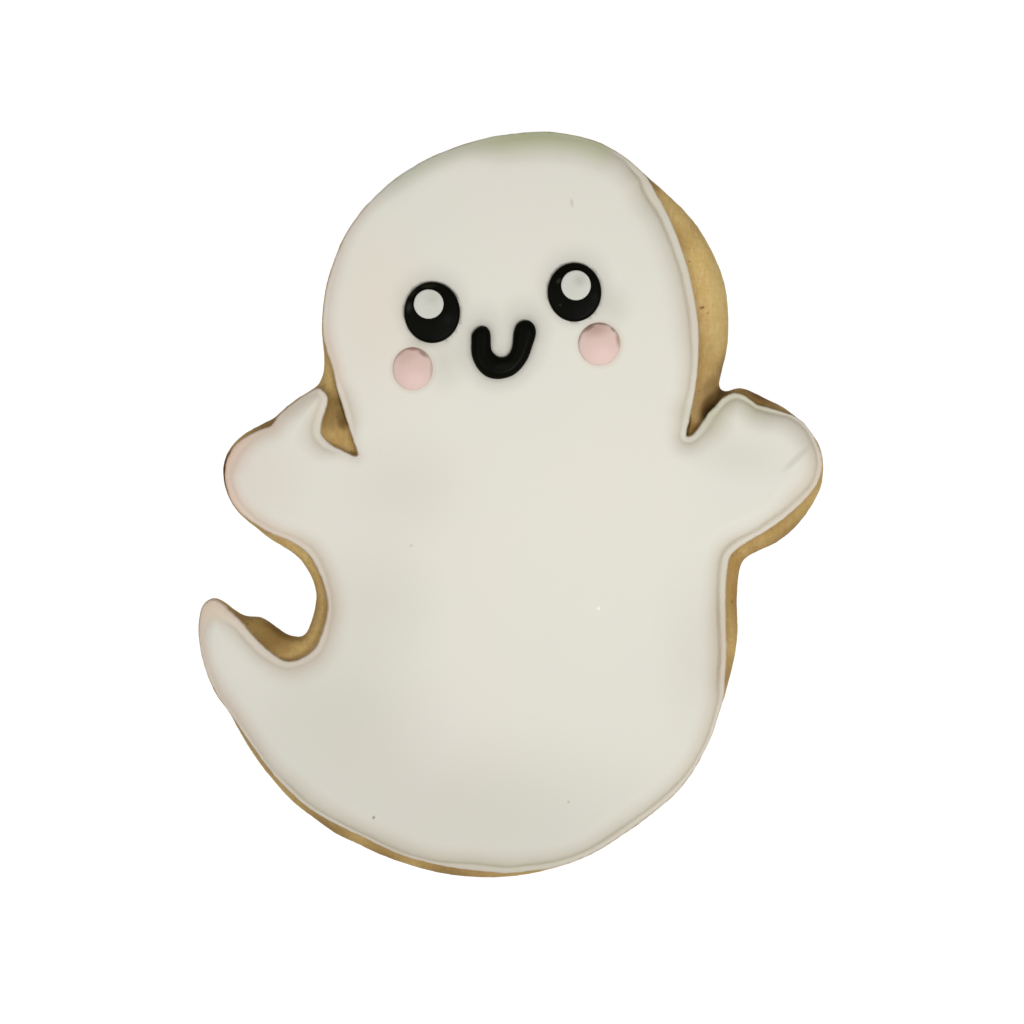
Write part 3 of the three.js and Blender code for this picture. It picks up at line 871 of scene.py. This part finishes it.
def principled(name, color, roughness, specular):
    """A material with one Principled shader, and its tree."""
    material = bpy.data.materials.new(name)
    material.use_nodes = True
    shader = material.node_tree.nodes["Principled BSDF"]
    shader.inputs["Base Color"].default_value = color
    shader.inputs["Roughness"].default_value = roughness
    shader.inputs["Specular IOR Level"].default_value = specular
    return material, material.node_tree, shader


# %% [markdown]
# ### Effects that several finishes share
#
# Icing and baked dough both show slow cloudy patches, a fine grain, and single marks such as specks
# and scratches. Each is a node group, built once, with its values named as inputs. All of them read
# Object coordinates in metres, so sizes are divided out inside the group.

# %% Build the shared groups
FINER_SIZE, FINER_HEIGHT = 0.31, 0.35   # the finer grain, as shares of the coarse one
MARK_CORE = 0.35                 # share of a mark's half size, inside which it is full


def new_group(name, inputs, outputs):
    """An empty shader group with named sockets: its tree, its input node and its output node."""
    tree = bpy.data.node_groups.new(name, "ShaderNodeTree")
    for socket, (kind, default) in inputs.items():
        made = tree.interface.new_socket(socket, in_out="INPUT", socket_type="NodeSocket" + kind)
        made.default_value = default
    for socket, kind in outputs.items():
        tree.interface.new_socket(socket, in_out="OUTPUT", socket_type="NodeSocket" + kind)
    return tree, tree.nodes.new("NodeGroupInput"), tree.nodes.new("NodeGroupOutput")


def place_over(tree, size):
    """Object coordinates divided by a size in mm."""
    place = add(tree, "TexCoord").outputs["Object"]
    in_mm = add(tree, "VectorMath", {0: place, 3: 1 / MM}, operation="SCALE").outputs[0]
    per_size = math_of(tree, "DIVIDE", 1.0, size)
    return add(tree, "VectorMath", {0: in_mm, 3: per_size}, operation="SCALE").outputs[0]


def build_clouds():
    """Slow patches: a mask from 0 to 1 that changes over a size in mm, with a contrast."""
    tree, given, result = new_group(
        "cloudy_patches",
        {"Size": ("Float", 5.0), "Contrast": ("Float", 1.0)},
        {"Mask": "Float"},
    )
    place = place_over(tree, given.outputs["Size"])
    pattern = add(tree, "TexNoise", {"Vector": place, "Scale": 1.0, "Detail": 3.0})
    off_middle = math_of(tree, "SUBTRACT", pattern.outputs["Fac"], 0.5)
    spread = times(tree, off_middle, given.outputs["Contrast"])
    centred = add(tree, "Math", {0: spread, 1: 0.5}, operation="ADD", use_clamp=True)
    tree.links.new(centred.outputs[0], result.inputs["Mask"])
    return tree


def build_grain():
    """Fine grain: a height from noise of a size in mm with a finer noise over it."""
    tree, given, result = new_group("fine_grain", {"Size": ("Float", 0.3)}, {"Height": "Float"})
    place = place_over(tree, given.outputs["Size"])
    coarse = add(tree, "TexNoise", {"Vector": place, "Scale": 1.0, "Detail": 4.0})
    finer = times(tree, given.outputs["Size"], FINER_SIZE)
    fine = add(tree, "TexNoise", {"Vector": place_over(tree, finer), "Scale": 1.0, "Detail": 2.0})
    height = math_of(tree, "MULTIPLY_ADD", fine.outputs["Fac"], FINER_HEIGHT, coarse.outputs["Fac"])
    tree.links.new(height, result.inputs["Height"])
    return tree


def build_mark():
    """A soft oval mark: its place, half length and half width, its turn, and where it starts to fade."""
    tree, given, result = new_group(
        "soft_mark",
        {
            "Place": ("Vector", (0, 0, 0)),
            "Half Size": ("Vector", (1, 1, 1)),
            "Turn": ("Float", 0.0),
            "Core": ("Float", MARK_CORE),
        },
        {"Mask": "Float"},
    )
    here = place_over(tree, 1.0)
    away = add(tree, "VectorMath", {0: here, 1: given.outputs["Place"]}, operation="SUBTRACT").outputs[0]
    back = times(tree, given.outputs["Turn"], -1.0)
    turned = add(tree, "VectorRotate", {"Vector": away, "Angle": back}, rotation_type="Z_AXIS").outputs[0]
    shares = add(tree, "VectorMath", {0: turned, 1: given.outputs["Half Size"]}, operation="DIVIDE")
    flat = add(tree, "VectorMath", {0: shares.outputs[0], 1: (1, 1, 0)}, operation="MULTIPLY")
    share = add(tree, "VectorMath", {0: flat.outputs[0]}, operation="LENGTH").outputs["Value"]
    tree.links.new(faded(tree, share, given.outputs["Core"], 1.0), result.inputs["Mask"])
    return tree


clouds_group, grain_group, mark_group = build_clouds(), build_grain(), build_mark()
print("groups:", [tree.name for tree in (clouds_group, grain_group, mark_group)])

# %% Place a group in a material


def clouds(tree, size, contrast):
    """Slow patches of a size in mm."""
    group = add(tree, "Group", node_tree=clouds_group)
    group.inputs["Size"].default_value = size
    group.inputs["Contrast"].default_value = contrast
    return group.outputs["Mask"]


def grain_bump(tree, shader, size, height):
    """Fine relief on a material: grains of a size in mm that stand a height in mm."""
    group = add(tree, "Group", node_tree=grain_group)
    group.inputs["Size"].default_value = size
    bump = add(tree, "Bump", {"Height": group.outputs["Height"], "Distance": height * MM, "Strength": 1.0})
    tree.links.new(bump.outputs["Normal"], shader.inputs["Normal"])
    return group.outputs["Height"]


def marked(tree, color, marks, core=MARK_CORE):
    """Lay marks over a colour: x, y, half length, half width, turn in degrees, colour, strength."""
    for x, y, length, width, turn, paint, strength in marks.values():
        group = add(tree, "Group", node_tree=mark_group)
        group.inputs["Core"].default_value = core
        group.inputs["Place"].default_value = (x, y, 0)
        group.inputs["Half Size"].default_value = (length, width, 1)
        group.inputs["Turn"].default_value = math.radians(turn)
        cover = times(tree, group.outputs["Mask"], strength)
        color = mixed(tree, cover, color, linear(*paint))
    return color


# %% [markdown]
# ### White icing
#
# Rolled sugar paste sets to a satin, slightly warm white. Towards its edge the shoulder is painted a
# warm grey as painted shade, with a darker line of painted shade in the crease. The edges, the left
# ones most, carry a pink painted reflection of the warm biscuit, and the crown a green painted
# reflection and shade. These follow the numbers that the sheet keeps on its points, because they
# belong to the edge and not to a direction.

# %% Place the painted shade, the tints and the marks on the icing
# Each one: x, y, half length, half width in mm, turn in degrees, colour, strength.
# The grey patches are painted shade: slow darkening across the sheet, and darker spots beside the left disc,
# the smile and the right eye. The peach, pink and ivory patches tint the colour.
SHADE_AND_TINT_PATCHES = {
    "left chest": (-14, 2, 13.0, 11.0, 0, (150, 144, 126), 0.09),
    "beside the bay": (-18, -13, 12.0, 12.0, 0, (150, 144, 126), 0.12),
    "right arm": (30, 6.5, 10.0, 5.0, -8, (150, 144, 126), 0.11),
    "low belly": (-4, -41, 34.0, 14.0, -4, (150, 144, 126), 0.14),
    "left belly": (-22, -28, 17.0, 15.0, 0, (150, 144, 126), 0.15),
    "waist": (25, -20, 8.0, 16.0, 0, (160, 146, 128), 0.10),
    "peach wash on the left of the head": (-17.5, 26.0, 8.5, 17.0, 0, (240, 208, 182), 0.17),
    "pink wash on the left hand": (-34.5, 3.5, 9.0, 8.5, 0, (236, 204, 190), 0.20),
    "between the left disc and the smile": (-8.8, 19.0, 4.0, 5.5, 0, (146, 138, 122), 0.20),
    "beside the right eye": (13.6, 26.4, 3.6, 4.2, 0, (146, 140, 126), 0.18),
    "above the left disc": (-12.0, 21.7, 3.0, 1.6, 0, (150, 140, 122), 0.28),
    "ivory tail tip": (-39.9, -14.4, 3.0, 2.4, 0, (228, 212, 178), 0.40),
}
ICING_MARKS = {
    "sugar speck": (11.7, -13.9, 0.32, 0.30, 0, (252, 251, 246), 1.0),
    "crumb": (-18.3, -41.8, 0.34, 0.26, 60, (150, 112, 96), 0.7),
    "dust, low": (7.7, -39.7, 0.30, 0.22, 20, (190, 180, 165), 0.6),
    "dust, forehead": (8.15, 40.25, 0.85, 0.34, 97, (200, 197, 182), 0.5),
    "dust, chest": (-13.3, -5.5, 0.34, 0.25, 0, (198, 192, 176), 0.5),
    "scratch on the right hand": (38.2, 6.15, 3.5, 0.58, 43, (196, 191, 176), 0.42),
    # A darker mark at the left eye's upper right.
    "dark mark by the left eye": (-8.05, 28.42, 2.0, 0.46, -46, (40, 38, 34), 0.75),
}
# Rings of warm beige painted contact shadow on the icing round the pink discs.
DISC_SHADOW_RINGS = {
    "left disc": (-13.05, 18.05, 3.45, 3.60, 0, (208, 194, 179), 0.65),
    "right disc": (11.90, 21.40, 3.60, 3.65, 0, (212, 196, 183), 0.60),
}
print("on the icing:", [len(marks) for marks in (SHADE_AND_TINT_PATCHES, ICING_MARKS, DISC_SHADOW_RINGS)])

# %% Finish the white icing
WARM_WHITE, COOL_WHITE = (236, 231, 219), (233, 231, 218)
# Tints of painted reflection and shade: pink from the warm biscuit, green over the crown.
PINK_TINT, GREEN_TINT = (1.0, 0.78, 0.69), (0.74, 0.84, 0.52)
SHOULDER_SHADE_TINT, CREASE_SHADE_TINT = (0.745, 0.715, 0.64), (0.76, 0.73, 0.68)
DEEPEST_CREASE = 0.26            # mm, crease that shows darkest
CREASE_FADE = 1.2                # crease widths, over which its dark line fades out
DARKEST_SHADE = 1.25             # greyness at which the shoulder takes its full tint
# Painted edge tint, of reflection and shade, at which the edge takes its full tint.
STRONGEST_EDGE_TINT = 1.8            # stain at which the edge takes its full tint
# Painted shadow round the black pieces: its grey, its reaches and its strength.
PAINTED_SHADOW_GREY = (92, 88, 74)
SHADOW_REACHES = (1.0, 3.3)       # mm, of a near bloom and a wide one
SHADOW_STRENGTH = 0.18            # of each
PATCH_CORE, RING_CORE = 0.0, 0.68

white, tree, shader = principled("white_icing_finish", linear(232, 229, 218), 0.55, 0.25)
color = mixed(tree, clouds(tree, size=16.0, contrast=1.6), linear(*WARM_WHITE), linear(*COOL_WHITE))
# Painted edge tint: pink painted reflection along most edges, green painted reflection and shade at the
# crown.
edge_tint = math_of(tree, "DIVIDE", kept(tree, "painted_edge_tint"), STRONGEST_EDGE_TINT)
pinker, greener = tinted(tree, color, PINK_TINT), tinted(tree, color, GREEN_TINT)
color = mixed(tree, math_of(tree, "MAXIMUM", edge_tint, 0.0), color, pinker)
color = mixed(tree, math_of(tree, "MAXIMUM", times(tree, edge_tint, -1.0), 0.0), color, greener)
# Painted shade on the shoulder.
shade = math_of(tree, "DIVIDE", kept(tree, "shoulder_shade"), DARKEST_SHADE)
color = mixed(tree, shade, color, tinted(tree, color, SHOULDER_SHADE_TINT))
# A darker line of painted shade along the crease.
beside_crease = math_of(tree, "ABSOLUTE", kept(tree, "off_crease"))
crease_share = math_of(tree, "DIVIDE", kept(tree, "crease"), DEEPEST_CREASE)
crease_shade = times(tree, faded(tree, beside_crease, 0.0, CREASE_FADE), crease_share)
color = mixed(tree, crease_shade, color, tinted(tree, color, CREASE_SHADE_TINT))
# Painted shadow on the icing round the black pieces, a near one and a wide one.
gap = kept(tree, "face_gap")
painted_shadows = [times(tree, faded(tree, gap, 0.0, reach), SHADOW_STRENGTH) for reach in SHADOW_REACHES]
color = mixed(tree, math_of(tree, "ADD", *painted_shadows), color, linear(*PAINTED_SHADOW_GREY))
color = marked(tree, color, SHADE_AND_TINT_PATCHES, PATCH_CORE)
color = marked(tree, color, DISC_SHADOW_RINGS, RING_CORE)
color = marked(tree, color, ICING_MARKS)
tree.links.new(color, shader.inputs["Base Color"])
grain = grain_bump(tree, shader, size=0.35, height=0.012)
tree.links.new(faded(tree, grain, 0.3, 1.0, low=0.48, high=0.62), shader.inputs["Roughness"])
print("white icing has", len(tree.nodes), "nodes")

# %% [markdown]
# ### Biscuit
#
# Its top is pale gold with slow patches, pale streaks from the rolling pin and pin-sized pores. The
# outer rim and the underside are browner, and a toasted place fades down the wall. Painted shade
# darkens the sheltered corners, a thin line of painted shadow follows the icing, and painted light
# lightens the rim right of the head.

# %% Place the marks, the painted shade and the painted light on the biscuit
# The hook, the armpit corners, and the brown and dark lines, corners and spots beside the right arm and the
# head are painted shade and painted shadow of the icing.
BISCUIT_MARKS_AND_SHADE = {
    # Painted light: paler dough that lightens the sloping rim right of the head.
    "painted light on the rim right of the head": (28.2, 28.0, 13.0, 2.4, 88, (214, 190, 126), 0.35),
    "browner tip beside the crown": (18.8, 43.0, 2.2, 0.9, -47, (112, 80, 40), 0.40),
    "brown above the right armpit": (26.7, 15.5, 2.8, 1.2, 72, (112, 84, 42), 0.45),
    "painted shade on the hook": (-32.6, -17.3, 4.4, 2.4, -35, (128, 100, 50), 0.55),
    "painted shade in the right armpit": (25.6, 13.6, 4.6, 1.7, 72, (140, 114, 80), 0.45),
    "shade beside the right arm": (26.8, 13.35, 3.3, 1.5, 54, (80, 57, 16), 0.85),
    "dark corner beside the right arm": (26.3, 12.5, 2.0, 0.80, 54, (50, 32, 10), 0.55),
    "dark corner beside the head": (23.80, 10.5, 2.0, 0.34, 80, (52, 32, 10), 0.7),
    "dark line beside the head": (-22.35, 12.4, 3.0, 0.36, 109.5, (66, 50, 18), 0.65),
    "dark spot in the left armpit": (-22.7, 11.3, 1.9, 0.8, 108, (84, 66, 28), 0.45),
    "browner waist": (30.2, -10.5, 6.0, 1.7, 90, (164, 118, 58), 0.45),
    "painted shade in the left armpit": (-24.2, 12.4, 4.0, 2.6, 100, (120, 102, 62), 0.35),
    "burst bubble": (25.6, 26.3, 0.42, 0.26, 30, (118, 84, 48), 0.8),
    "burst bubble, upper": (23.9, 32.5, 0.30, 0.16, -20, (140, 106, 62), 0.6),
    "burst bubble, waist": (29.6, -13.0, 0.30, 0.2, 50, (126, 92, 52), 0.6),
}
print("on the biscuit:", len(BISCUIT_MARKS_AND_SHADE))

# %% Colour the dough
GOLD_DOUGH, PALE_DOUGH = (211, 178, 116), (222, 192, 123)
SPECKLE_TINT = (0.87, 0.84, 0.79)
STREAK_PALE, STREAK_STRENGTH = (226, 204, 152), 0.45
STREAKS_PER_MM = (2.4, 0.55, 1.0)       # closer along X than along Y, so they run up and down
STREAK_EDGE = (0.48, 0.72, 0.0, 1.0)    # shade of the noise from which they start and are full
# A thin line of painted contact shadow on the dough beside the icing's edge.
CONTACT_SHADE_DOUGH, CONTACT_SHADE_STRENGTH = (156, 120, 84), 0.25
CONTACT_SHADE_REACH = 0.9                # mm from the icing

dough, tree, shader = principled("biscuit_finish", linear(196, 168, 110), 0.85, 0.15)
color = mixed(tree, clouds(tree, size=4.5, contrast=1.5), linear(*GOLD_DOUGH), linear(*PALE_DOUGH))
darker_dough = tinted(tree, color, SPECKLE_TINT)
color = mixed(tree, clouds(tree, size=0.5, contrast=2.6), color, darker_dough)
stretched = add(tree, "VectorMath", {0: place_over(tree, 1.0), 1: STREAKS_PER_MM}, operation="MULTIPLY")
streaks = add(tree, "TexNoise", {"Vector": stretched.outputs[0], "Scale": 1.0, "Detail": 3.0})
streak = times(tree, faded(tree, streaks.outputs["Fac"], *STREAK_EDGE), STREAK_STRENGTH)
color = mixed(tree, streak, color, linear(*STREAK_PALE))
icing_gap, rim_depth = kept(tree, "icing_gap"), kept(tree, "rim_depth")
# Painted contact shadow beside the icing.
contact_shade = times(tree, faded(tree, icing_gap, 0.0, CONTACT_SHADE_REACH), CONTACT_SHADE_STRENGTH)
color = mixed(tree, contact_shade, color, linear(*CONTACT_SHADE_DOUGH))
print("plain dough has", len(tree.nodes), "nodes")

# %% Brown the dough
# Toast and painted shade share one brown; the burnt rim grows with both.
TOAST_AND_SHADE_BROWN, TOAST_AND_SHADE_STRENGTH = (120, 81, 32), 0.85
BURNT_BROWN, BURNT_POWER = (84, 48, 14), 2.5
# Painted shade in the thin strip where the icing's edge is flush with the biscuit's.
FLUSH_SHADE_BROWN = (156, 130, 98)     # where the icing's edge is flush with the biscuit's
BAKED_DARK, BAKED_PALE = (158, 110, 58), (184, 140, 82)
TOASTED_WALL = (0.8, 4.4, 0.35, 1.0)    # mm of height, and the shares of toast below and above
UPPER_WALL = (4.6, 6.0, 0.0, 1.0)       # mm of height, and the shares of the flush line
BAKED_FOOT = (0.2, 2.4)          # mm of height, over which the browner foot fades out
BURNT_RIM = (0.2, 1.0)           # mm in from the rim, over which the burnt colour fades out
FLUSH_LINE = (0.1, 0.7)          # mm from the icing's edge and in from the rim

height = add(tree, "SeparateXYZ", {0: place_over(tree, 1.0)}).outputs["Z"]
# Toast and painted shade, fading down the wall.
toast_and_shade = times(tree, kept(tree, "toast_and_shade"), faded(tree, height, *TOASTED_WALL))
color = mixed(tree, times(tree, toast_and_shade, TOAST_AND_SHADE_STRENGTH), color, linear(*TOAST_AND_SHADE_BROWN))
burnt_rim = times(tree, faded(tree, rim_depth, *BURNT_RIM), math_of(tree, "POWER", toast_and_shade, BURNT_POWER))
color = mixed(tree, burnt_rim, color, linear(*BURNT_BROWN))
# Painted shade in the narrow gap between the icing's edge and the biscuit's rim, on the upper wall.
flush_shade = times(tree, faded(tree, icing_gap, *FLUSH_LINE), faded(tree, rim_depth, *FLUSH_LINE))
flush_shade = times(tree, flush_shade, faded(tree, height, *UPPER_WALL))
color = mixed(tree, flush_shade, color, linear(*FLUSH_SHADE_BROWN))
color = marked(tree, color, BISCUIT_MARKS_AND_SHADE)
baked = mixed(tree, clouds(tree, size=6.0, contrast=2.4), linear(*BAKED_DARK), linear(*BAKED_PALE))
color = mixed(tree, faded(tree, height, *BAKED_FOOT), color, baked)
print("browned dough has", len(tree.nodes), "nodes")

# %% Prick the dough with pores
PORE_SPACING = 1.1               # mm
PORE_REACH, PORE_POWER = 0.22, 2.5      # share of the spacing, and how rare the wide pores are
PORE_BROWN, PORE_STRENGTH = (108, 76, 40), 0.5

pores = add(tree, "TexVoronoi", {"Vector": place_over(tree, PORE_SPACING), "Scale": 1.0, "Randomness": 1.0})
pore_size = add(tree, "SeparateColor", {0: pores.outputs["Color"]}).outputs[0]
pore_reach = times(tree, math_of(tree, "POWER", pore_size, PORE_POWER), PORE_REACH)
pore_share = math_of(tree, "DIVIDE", pores.outputs["Distance"], pore_reach)
pore = times(tree, faded(tree, pore_share, 0.4, 1.0), PORE_STRENGTH)
color = mixed(tree, pore, color, linear(*PORE_BROWN))
tree.links.new(color, shader.inputs["Base Color"])
grain = grain_bump(tree, shader, size=0.30, height=0.06)
tree.links.new(faded(tree, grain, 0.3, 1.0, low=0.95, high=0.75), shader.inputs["Roughness"])
print("biscuit has", len(tree.nodes), "nodes")

# %% [markdown]
# ### Coloured icing
#
# The black, pink and off-white pieces are the same paste, kneaded with colour. Black paste carries
# paler spots of painted sheen, and the white dots a grey painted shade. The pink discs have an even
# middle, painted light makes them paler towards the lower rim, and smears of a darker pink painted
# shade lie along the upper rim. All of that is laid on as soft marks over a base of two close shades.

# %% Place the painted light, shade and sheen on the coloured pieces
PRESSED = {
    "left, middle": (-13.10, 17.98, 2.66, 2.76, 0, (226, 197, 187), 1.0),
    "right, middle": (11.75, 21.22, 2.74, 2.72, 0, (229, 200, 190), 1.0),
}
# Painted light on the lower half of each disc and painted shade on the upper half.
PINK_LIGHT_AND_SHADE = {
    "left, lower": (-12.9, 16.6, 2.8, 2.2, 0, (237, 206, 197), 0.9),
    "left, upper": (-14.0, 19.9, 2.8, 1.7, 30, (206, 177, 164), 0.5),
    "right, lower": (12.2, 19.9, 2.8, 2.3, 0, (239, 208, 199), 0.85),
    "right, upper": (11.3, 23.5, 3.2, 1.8, 8, (194, 163, 150), 0.9),
}
# Smears of darker pink painted shade along the upper rims and sides of the discs.
PINK_RIM_SHADE = {
    "left, top": (-13.1, 20.75, 1.6, 0.42, -3, (168, 124, 116), 0.85),
    "left, top left": (-14.6, 20.20, 1.3, 0.42, 37, (184, 152, 142), 0.50),
    "left, patch": (-11.75, 20.15, 1.3, 0.50, -38, (150, 116, 104), 0.8),
    "left, right rim": (-10.6, 18.00, 1.9, 0.36, 90, (184, 162, 148), 0.45),
    "right, patch": (10.5, 23.60, 1.6, 0.50, 34, (128, 98, 88), 0.78),
    "right, top": (12.1, 24.10, 1.4, 0.34, -4, (150, 124, 110), 0.80),
    "right, spot": (13.65, 23.30, 0.7, 0.32, -45, (140, 104, 90), 0.65),
    "right, right rim": (14.3, 22.00, 1.6, 0.46, -82, (182, 148, 134), 0.80),
    "right, left rim": (9.15, 22.20, 1.6, 0.36, 70, (180, 152, 141), 0.70),
}
# Paler spots of painted sheen on the black pieces.
BLACK_SHEEN = {
    "left eye, left": (-13.6, 26.3, 1.0, 0.55, 80, (48, 52, 49), 0.7),
    "left eye, upper left": (-13.1, 28.2, 1.2, 0.50, 52, (38, 38, 26), 0.7),
    "left eye, top": (-11.0, 29.1, 1.6, 0.45, 6, (38, 37, 25), 0.7),
    "left eye, lower right": (-8.4, 24.7, 1.3, 1.00, 40, (24, 27, 25), 0.6),
    "right eye, upper left": (6.4, 29.8, 0.6, 0.40, 50, (52, 50, 46), 0.8),
    "right eye, lower left": (6.6, 26.6, 0.3, 0.25, 0, (46, 46, 42), 0.7),
    "right eye, right": (11.2, 27.6, 0.8, 1.00, 0, (24, 27, 25), 0.6),
    "smile": (-1.0, 18.4, 2.0, 0.70, 10, (24, 25, 21), 0.7),
}
# Grey painted shade on the white dots.
SHADE_ON_DOTS = {
    "left": (-10.4, 27.4, 1.6, 1.30, 20, (198, 198, 182), 0.7),
    "right": (9.2, 29.8, 1.4, 1.30, 0, (192, 192, 178), 0.8),
}
print("marks:", [len(marks) for marks in (PRESSED, PINK_LIGHT_AND_SHADE, PINK_RIM_SHADE, BLACK_SHEEN, SHADE_ON_DOTS)])

# %% Finish the coloured icing


def coloured_icing(name, deep, pale, specular, roughness, layers):
    """Coloured paste between two close shades, with a fine grain and layers of marks."""
    material, tree, shader = principled(name, linear(*deep), sum(roughness) / 2, specular)
    color = mixed(tree, clouds(tree, size=2.2, contrast=2.0), linear(*deep), linear(*pale))
    for marks, core in layers:
        color = marked(tree, color, marks, core)
    tree.links.new(color, shader.inputs["Base Color"])
    grain = grain_bump(tree, shader, size=0.25, height=0.014)
    tree.links.new(faded(tree, grain, 0.3, 1.0, *roughness), shader.inputs["Roughness"])
    return material


black = coloured_icing(
    "black_icing_finish", (9, 9, 5), (14, 14, 10), 0.03, (0.28, 0.42), [(BLACK_SHEEN, 0.1)]
)
dot = coloured_icing(
    "highlight_finish", (211, 211, 200), (219, 218, 209), 0.2, (0.45, 0.6), [(SHADE_ON_DOTS, 0.0)]
)
pink = coloured_icing(
    "pink_icing_finish", (220, 198, 185), (226, 205, 193), 0.2, (0.45, 0.6),
    [(PRESSED, 0.82), (PINK_LIGHT_AND_SHADE, 0.0), (PINK_RIM_SHADE, 0.1)],
)
print("finishes:", [material.name for material in (white, dough, black, dot, pink)])

# %% [markdown]
# ## Put it together
#
# Every piece rides on the cookie's one body, stands for the solid that it was made from, which is
# hidden, and takes its finish.

# %% Dress every piece
FINISH_OF = {
    "biscuit": (biscuit, dough, "biscuit"),
    "white_icing": (icing, white, "white_icing"),
    "mouth": (face_pieces["mouth"], black, "black_icing"),
}
for side in ("left", "right"):
    FINISH_OF[f"{side}_eye"] = (face_pieces[f"{side}_eye"], black, "black_icing")
    FINISH_OF[f"{side}_eye_highlight"] = (face_pieces[f"{side}_eye_highlight"], dot, "highlight_icing")
    FINISH_OF[f"{side}_cheek"] = (face_pieces[f"{side}_cheek"], pink, "pink_icing")

for node, (piece, material, slot) in FINISH_OF.items():
    piece.data.materials.clear()
    piece.data.materials.append(material)
    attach(piece, "root")
    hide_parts(node)
print("dressed", len(FINISH_OF), "pieces")

# %% [markdown]
# ## Stage and light
#
# The cookie lies on a plain white floor that glows a little to the camera, so the ground stays an
# even white, as on a light table. A soft pool of light comes from the lower right, and two wide
# wings stand left and right of the camera, so nothing glares straight back from the black pieces. A
# dim white surround fills in the rest.

# %% Lay the floor
FLOOR_DROP = 0.02 * MM           # how far the floor lies below the underside
FLOOR_GLOW = 1.15
FLOOR_GLOW_SHARE = 0.85          # of what the camera sees; the rest is lit as any floor

bpy.ops.object.select_all(action="DESELECT")
bpy.ops.mesh.primitive_plane_add(size=2.0, location=(0, 0, -FLOOR_DROP))
floor = bpy.context.object
floor.name = "floor"
floor_finish, tree, shader = principled("floor_finish", (0.9, 0.9, 0.9, 1), 0.9, 0.0)
glow = add(tree, "Emission", {"Strength": FLOOR_GLOW})
seen = add(tree, "LightPath").outputs["Is Camera Ray"]
both = add(tree, "MixShader", {0: times(tree, seen, FLOOR_GLOW_SHARE)})
tree.links.new(shader.outputs["BSDF"], both.inputs[1])
tree.links.new(glow.outputs["Emission"], both.inputs[2])
tree.links.new(both.outputs["Shader"], tree.nodes["Material Output"].inputs["Surface"])
floor.data.materials.append(floor_finish)

# %% Hang the lights
POOL_PLACE, POOL_AIM = (136, -180, 460), (8, 7, 8)      # mm
WING_PLACE = (300, -120, 560)    # mm, mirrored for the left wing
WING_SIZE = 300 * MM
POOL_ENERGY, WING_ENERGY, SURROUND = 3.6, 0.8, 0.32


def hang(light_data, place, aim):
    """Put a light at a place in mm and turn it towards an aim in mm."""
    light = bpy.data.objects.new(light_data.name, light_data)
    bpy.context.scene.collection.objects.link(light)
    light.location = Vector(place) * MM
    light.rotation_euler = (Vector(place) - Vector(aim)).to_track_quat("Z", "Y").to_euler()
    light.visible_camera = False


pool = bpy.data.lights.new("pool", "SPOT")
pool.energy = POOL_ENERGY
pool.shadow_soft_size = 55 * MM
pool.spot_size = math.radians(23)
pool.spot_blend = 1.0
hang(pool, POOL_PLACE, POOL_AIM)

for side, direction in (("left", -1), ("right", 1)):
    wing = bpy.data.lights.new(f"{side} wing", "AREA")
    wing.size = WING_SIZE
    wing.energy = WING_ENERGY
    hang(wing, (WING_PLACE[0] * direction, *WING_PLACE[1:]), (0, 0, 0))

world = bpy.data.worlds.new("surround")
bpy.context.scene.world = world
world.use_nodes = True
world.node_tree.nodes["Background"].inputs["Color"].default_value = (1, 1, 1, 1)
world.node_tree.nodes["Background"].inputs["Strength"].default_value = SURROUND
bpy.context.scene.view_settings.view_transform = "Standard"
print("lights:", [light.name for light in bpy.data.lights])
